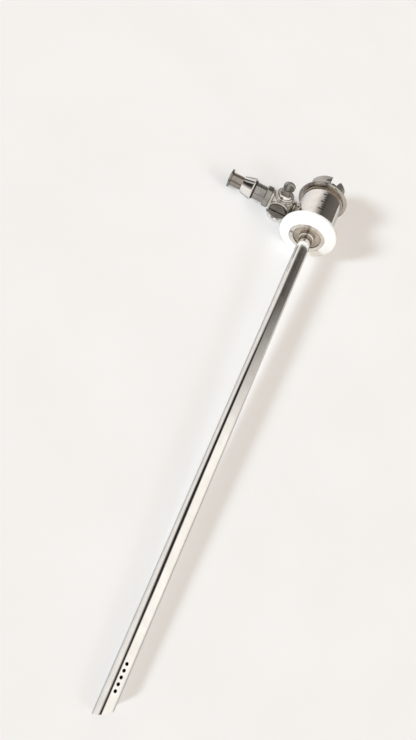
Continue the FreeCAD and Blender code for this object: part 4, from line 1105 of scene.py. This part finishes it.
@dataclass(frozen=True)
class Room:
    """The room that the metal shows: a ceiling, a bright left side and a dark bar between.

    A direction's reach is its part along +X, from the hub towards the tip. Its lean is its
    angle in radians from straight up towards the stopcock's side.

    Attributes:
        top_colour: Colour of the ceiling over the tube.
        back_colour: Colour of the ceiling behind the hub.
        right_colour: Its colour on the right.
        bar_colour: Colour of the bar.
        left_colour: Colour of the left side.
        top_reach: Reaches between which the back turns into the top.
        right_lean: Leans between which the back turns into the right.
        edge_lean: Lean at which the left side begins, before its shifts.
        near_reach: Reaches between which that edge first moves to the left.
        near_shift: How far it moves there.
        middle_reach: Reaches between which it moves on.
        middle_shift: How far it moves there.
        far_reach: Reaches between which it moves back.
        far_shift: How far it moves there.
        blur: Half the edge's width.
        near_sharpening: What the first move takes from the blur.
        middle_sharpening: What the second move takes from it.
        bar_lean: Lean at which the bar begins.
        bar_reach: Reaches between which the bar's start moves to the right.
        bar_shift: How far it moves there.
        bar_blur: Half the width of the bar's start.
    """

    top_colour: Colour = (1.1, 1.06, 1.0)
    back_colour: Colour = (0.075, 0.066, 0.058)
    right_colour: Colour = (0.16, 0.14, 0.125)
    bar_colour: Colour = (0.022, 0.02, 0.018)
    left_colour: Colour = (0.96, 0.91, 0.86)
    top_reach: Span = (-0.56, -0.32)
    right_lean: Span = (0.2, -1.2)
    edge_lean: float = 0.44
    near_reach: Span = (-0.672, -0.650)
    near_shift: float = 0.6
    middle_reach: Span = (-0.57, -0.42)
    middle_shift: float = 0.4
    far_reach: Span = (-0.19, 0.06)
    far_shift: float = 0.5
    blur: float = 0.4
    near_sharpening: float = 0.12
    middle_sharpening: float = 0.1
    bar_lean: float = 0.7
    bar_reach: Span = (-0.28, -0.05)
    bar_shift: float = 0.28
    bar_blur: float = 0.1

    def colour(self, graph: ShaderGraph) -> Signal:
        """Build the room's colour.

        Args:
            graph: The world's node tree.

        Returns:
            The colour that is seen in each direction.
        """
        way = graph.node("ShaderNodeTexCoord", output="Generated")
        reach, side, above = (graph.node("ShaderNodeSeparateXYZ", None, {0: way}, output=name)
                              for name in "XYZ")
        lean = graph.node("ShaderNodeMath", {"operation": "ARCTAN2"}, {0: 0.0 - side, 1: above})
        near = reach.between(*self.near_reach)
        middle = reach.between(*self.middle_reach)
        edge = (near * self.near_shift + middle * self.middle_shift
                - reach.between(*self.far_reach) * self.far_shift + self.edge_lean)
        blur = self.blur - near * self.near_sharpening - middle * self.middle_sharpening
        start = self.bar_lean - reach.between(*self.bar_reach) * self.bar_shift
        back = graph.mix(lean.between(*self.right_lean), self.back_colour, self.right_colour)
        ceiling = graph.mix(reach.between(*self.top_reach), back, self.top_colour)
        barred = graph.mix((lean - start).between(-self.bar_blur, self.bar_blur), ceiling,
                           self.bar_colour)
        return graph.mix(((lean - edge) / blur).between(-1.0, 1.0), barred, self.left_colour)


@dataclass
class Studio:
    """Camera, floor and lights.

    Attributes:
        camera_place: Where the camera stands, in millimetres.
        camera_aim: What it looks at, in millimetres.
        camera_top: The way that the picture's top points.
        lens_pixels: Focal length in pixels of the photograph's height.
        picture_height: Height of the photograph in pixels.
        sensor: Height of the camera's sensor in millimetres.
        sight: Nearest and farthest distance that the camera sees, in metres.
        mass_centre: The part's centre of mass in millimetres.
        search_steps: How often the search for a slope narrows its span.
        steepest: Steepest slopes of the floor along the tube and across it.
        floor_reach: Half the floor's side in metres.
        floor_gap: How far the floor lies below the part in metres.
        floor_light: The floor's main colour.
        floor_dark: The colour of its faint clouds.
        floor_white: The colour that it shows by itself.
        floor_glow: How much of that colour it shows.
        room: What the metal shows.
        soft_tint: What is left of the room's light on surfaces that scatter it.
        key_way: The way from the part to the main lamp.
        key_strength: How strongly that lamp lights what faces it.
        key_width: The angle that it fills, in degrees.
        key_colour: The colour of both lamps.
        fill_way: The way from the part to the faint lamp.
        fill_strength: How strongly that lamp lights what faces it.
        fill_width: The angle that it fills, in degrees.
        lamp_distance: Where the lamps hang, in metres.
    """

    camera_place: Vector = Vector((167.6, -56.3, 156.4))
    camera_aim: Vector = Vector((89.1, -10.2, -10.0))
    camera_top: Vector = Vector((-0.825, -0.508, 0.249))
    lens_pixels: float = 560.0
    picture_height: int = 740
    sensor: float = 24.0
    sight: Span = (0.01, 20.0)
    mass_centre: Vector = Vector((27.0, -4.0, -1.0))
    search_steps: int = 40
    steepest: Span = (0.3, 0.6)
    floor_reach: float = 3.0
    floor_gap: float = 0.00002
    floor_light: Colour = (0.95, 0.94, 0.925)
    floor_dark: Colour = (0.91, 0.90, 0.88)
    floor_white: Colour = (1.0, 0.995, 0.985)
    floor_glow: float = 0.39
    room: Room = Room()
    soft_tint: Colour = (0.67, 0.56, 0.45)
    key_way: Vector = Vector((0.59, -0.67, 0.45))
    key_strength: float = 3.3
    key_width: float = 9.0
    key_colour: Colour = (0.81, 0.92, 1.03)
    fill_way: Vector = Vector((0.25, 0.75, 0.61))
    fill_strength: float = 0.48
    fill_width: float = 18.0
    lamp_distance: float = 1.3

    def build(self, nodes: dict[str, bpy.types.Object]) -> None:
        """Set up the camera, floor, world and lamps.

        Args:
            nodes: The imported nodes, which the floor lies under.
        """
        self.camera()
        self.floor(self.resting_plane(nodes))
        self.world()
        self.lamp("key", self.key_way, self.key_strength, self.key_width)
        self.lamp("fill", self.fill_way, self.fill_strength, self.fill_width)
        bpy.context.scene.view_settings.view_transform = "Standard"

    def camera(self) -> None:
        """Place the camera at the photograph's angle."""
        data = bpy.data.cameras.new("camera")
        data.sensor_fit = "VERTICAL"
        data.sensor_height = self.sensor
        data.lens = self.lens_pixels / self.picture_height * self.sensor
        data.clip_start, data.clip_end = self.sight
        camera = bpy.data.objects.new("camera", data)
        bpy.context.scene.collection.objects.link(camera)
        back = (self.camera_place - self.camera_aim).normalized()
        right = self.camera_top.cross(back).normalized()
        turn = Matrix((right, back.cross(right), back)).transposed().to_4x4()
        camera.matrix_world = Matrix.Translation(self.camera_place * MM) @ turn
        bpy.context.scene.camera = camera

    def resting_plane(self, nodes: dict[str, bpy.types.Object]) -> tuple[float, float, float]:
        """Find the plane that the part rests on.

        It is the plane below every vertex that is highest under the centre of mass.

        Args:
            nodes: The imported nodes.

        Returns:
            The plane's slope along x, its slope along y and its height at the origin.
        """
        places = np.concatenate([np.array([v.co for v in item.data.vertices])
                                 for item in nodes.values()])
        middle = self.mass_centre * MM
        steepest_x, steepest_y = self.steepest

        def height(slope_x: float, slope_y: float) -> float:
            """Return the plane's height at the origin for two slopes."""
            return float((places[:, 2] - slope_x * places[:, 0] - slope_y * places[:, 1]).min())

        def best(score: Callable[[float], float], limit: float) -> float:
            """Find where a score with one peak is highest, from -limit to limit."""
            low, high = -limit, limit
            for _ in range(self.search_steps):
                third = (high - low) / 3
                if score(low + third) < score(high - third):
                    low += third
                else:
                    high -= third
            return (low + high) / 2

        def tilt(slope_x: float) -> float:
            """Return the best sideways slope for a slope along the axis."""
            return best(lambda s: height(slope_x, s) + s * middle.y, steepest_y)

        def lift(slope_x: float) -> float:
            """Return the plane's height under the centre of mass."""
            slope_y = tilt(slope_x)
            return height(slope_x, slope_y) + slope_x * middle.x + slope_y * middle.y

        slope_x = best(lift, steepest_x)
        slope_y = tilt(slope_x)
        log.info("floor slopes %.4f %.4f", slope_x, slope_y)
        return slope_x, slope_y, height(slope_x, slope_y)

    def floor(self, plane: tuple[float, float, float]) -> None:
        """Lay a plain pale floor.

        Args:
            plane: The resting plane's slopes along x and y and its height at the origin.
        """
        slope_x, slope_y, rise = plane
        corners = []
        for side_x, side_y in ((-1, -1), (1, -1), (1, 1), (-1, 1)):
            x, y = side_x * self.floor_reach, side_y * self.floor_reach
            corners.append((x, y, rise + slope_x * x + slope_y * y - self.floor_gap))
        mesh = bpy.data.meshes.new("floor")
        mesh.from_pydata(corners, [], [(0, 1, 2, 3)])
        floor = object_of("floor", mesh)
        graph = FinishGraph("floor_finish")
        colour = graph.mix(graph.mottle(FLOOR_CLOUDS), self.floor_light, self.floor_dark)
        plain = graph.node("ShaderNodeBsdfDiffuse", None, {"Color": colour})
        bright = graph.node("ShaderNodeEmission", None,
                            {"Color": (*self.floor_white, 1.0), "Strength": 1.0})
        seen = graph.ray(Ray.CAMERA) + graph.ray(Ray.GLOSSY) + graph.ray(Ray.TRANSMISSION)
        graph.surface(graph.blend(seen * self.floor_glow, plain, bright))
        mesh.materials.append(graph.material)

    def world(self) -> None:
        """Put the room round the part, warmer for soft surfaces and white for the camera."""
        world = bpy.data.worlds.new("studio")
        world.use_nodes = True
        graph = ShaderGraph(world.node_tree, "ShaderNodeOutputWorld")
        room = self.room.colour(graph)
        warm = graph.vector("MULTIPLY", room, self.soft_tint)
        mirrored, soft, white = (graph.node("ShaderNodeBackground", None,
                                            {"Color": colour, "Strength": 1.0})
                                 for colour in (room, warm, (1.0, 1.0, 1.0, 1.0)))
        inside = graph.blend(graph.ray(Ray.DIFFUSE), mirrored, soft)
        graph.surface(graph.blend(graph.ray(Ray.CAMERA), inside, white))
        bpy.context.scene.world = world

    def lamp(self, name: str, way: Vector, strength: float, width: float) -> None:
        """Hang one distant lamp that polished metal doesn't show.

        Args:
            name: The lamp's name.
            way: The way from the part to the lamp.
            strength: How strongly it lights what faces it.
            width: The angle that the lamp fills, in degrees.
        """
        data = bpy.data.lights.new(name, "SUN")
        data.energy = strength
        data.angle = math.radians(width)
        data.color = self.key_colour
        lamp = bpy.data.objects.new(name, data)
        lamp.visible_glossy = False
        bpy.context.scene.collection.objects.link(lamp)
        lamp.matrix_world = (Matrix.Translation(way * self.lamp_distance)
                             @ way.to_track_quat("Z", "Y").to_matrix().to_4x4())


def main() -> None:
    """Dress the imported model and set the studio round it."""
    logging.basicConfig(level=logging.INFO, format="%(message)s")
    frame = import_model()
    layout = Layout.from_frame(frame["joints"])
    maker = PieceMaker(frame["nodes"])
    grower = RingGrower()
    Studio().build(frame["nodes"])
    for assembly in (Tube, Hub, LockRing, Barrel, Stopcock, Outlet, Key):
        assembly(maker, grower, layout).build()


if __name__ == "__main__":
    main()
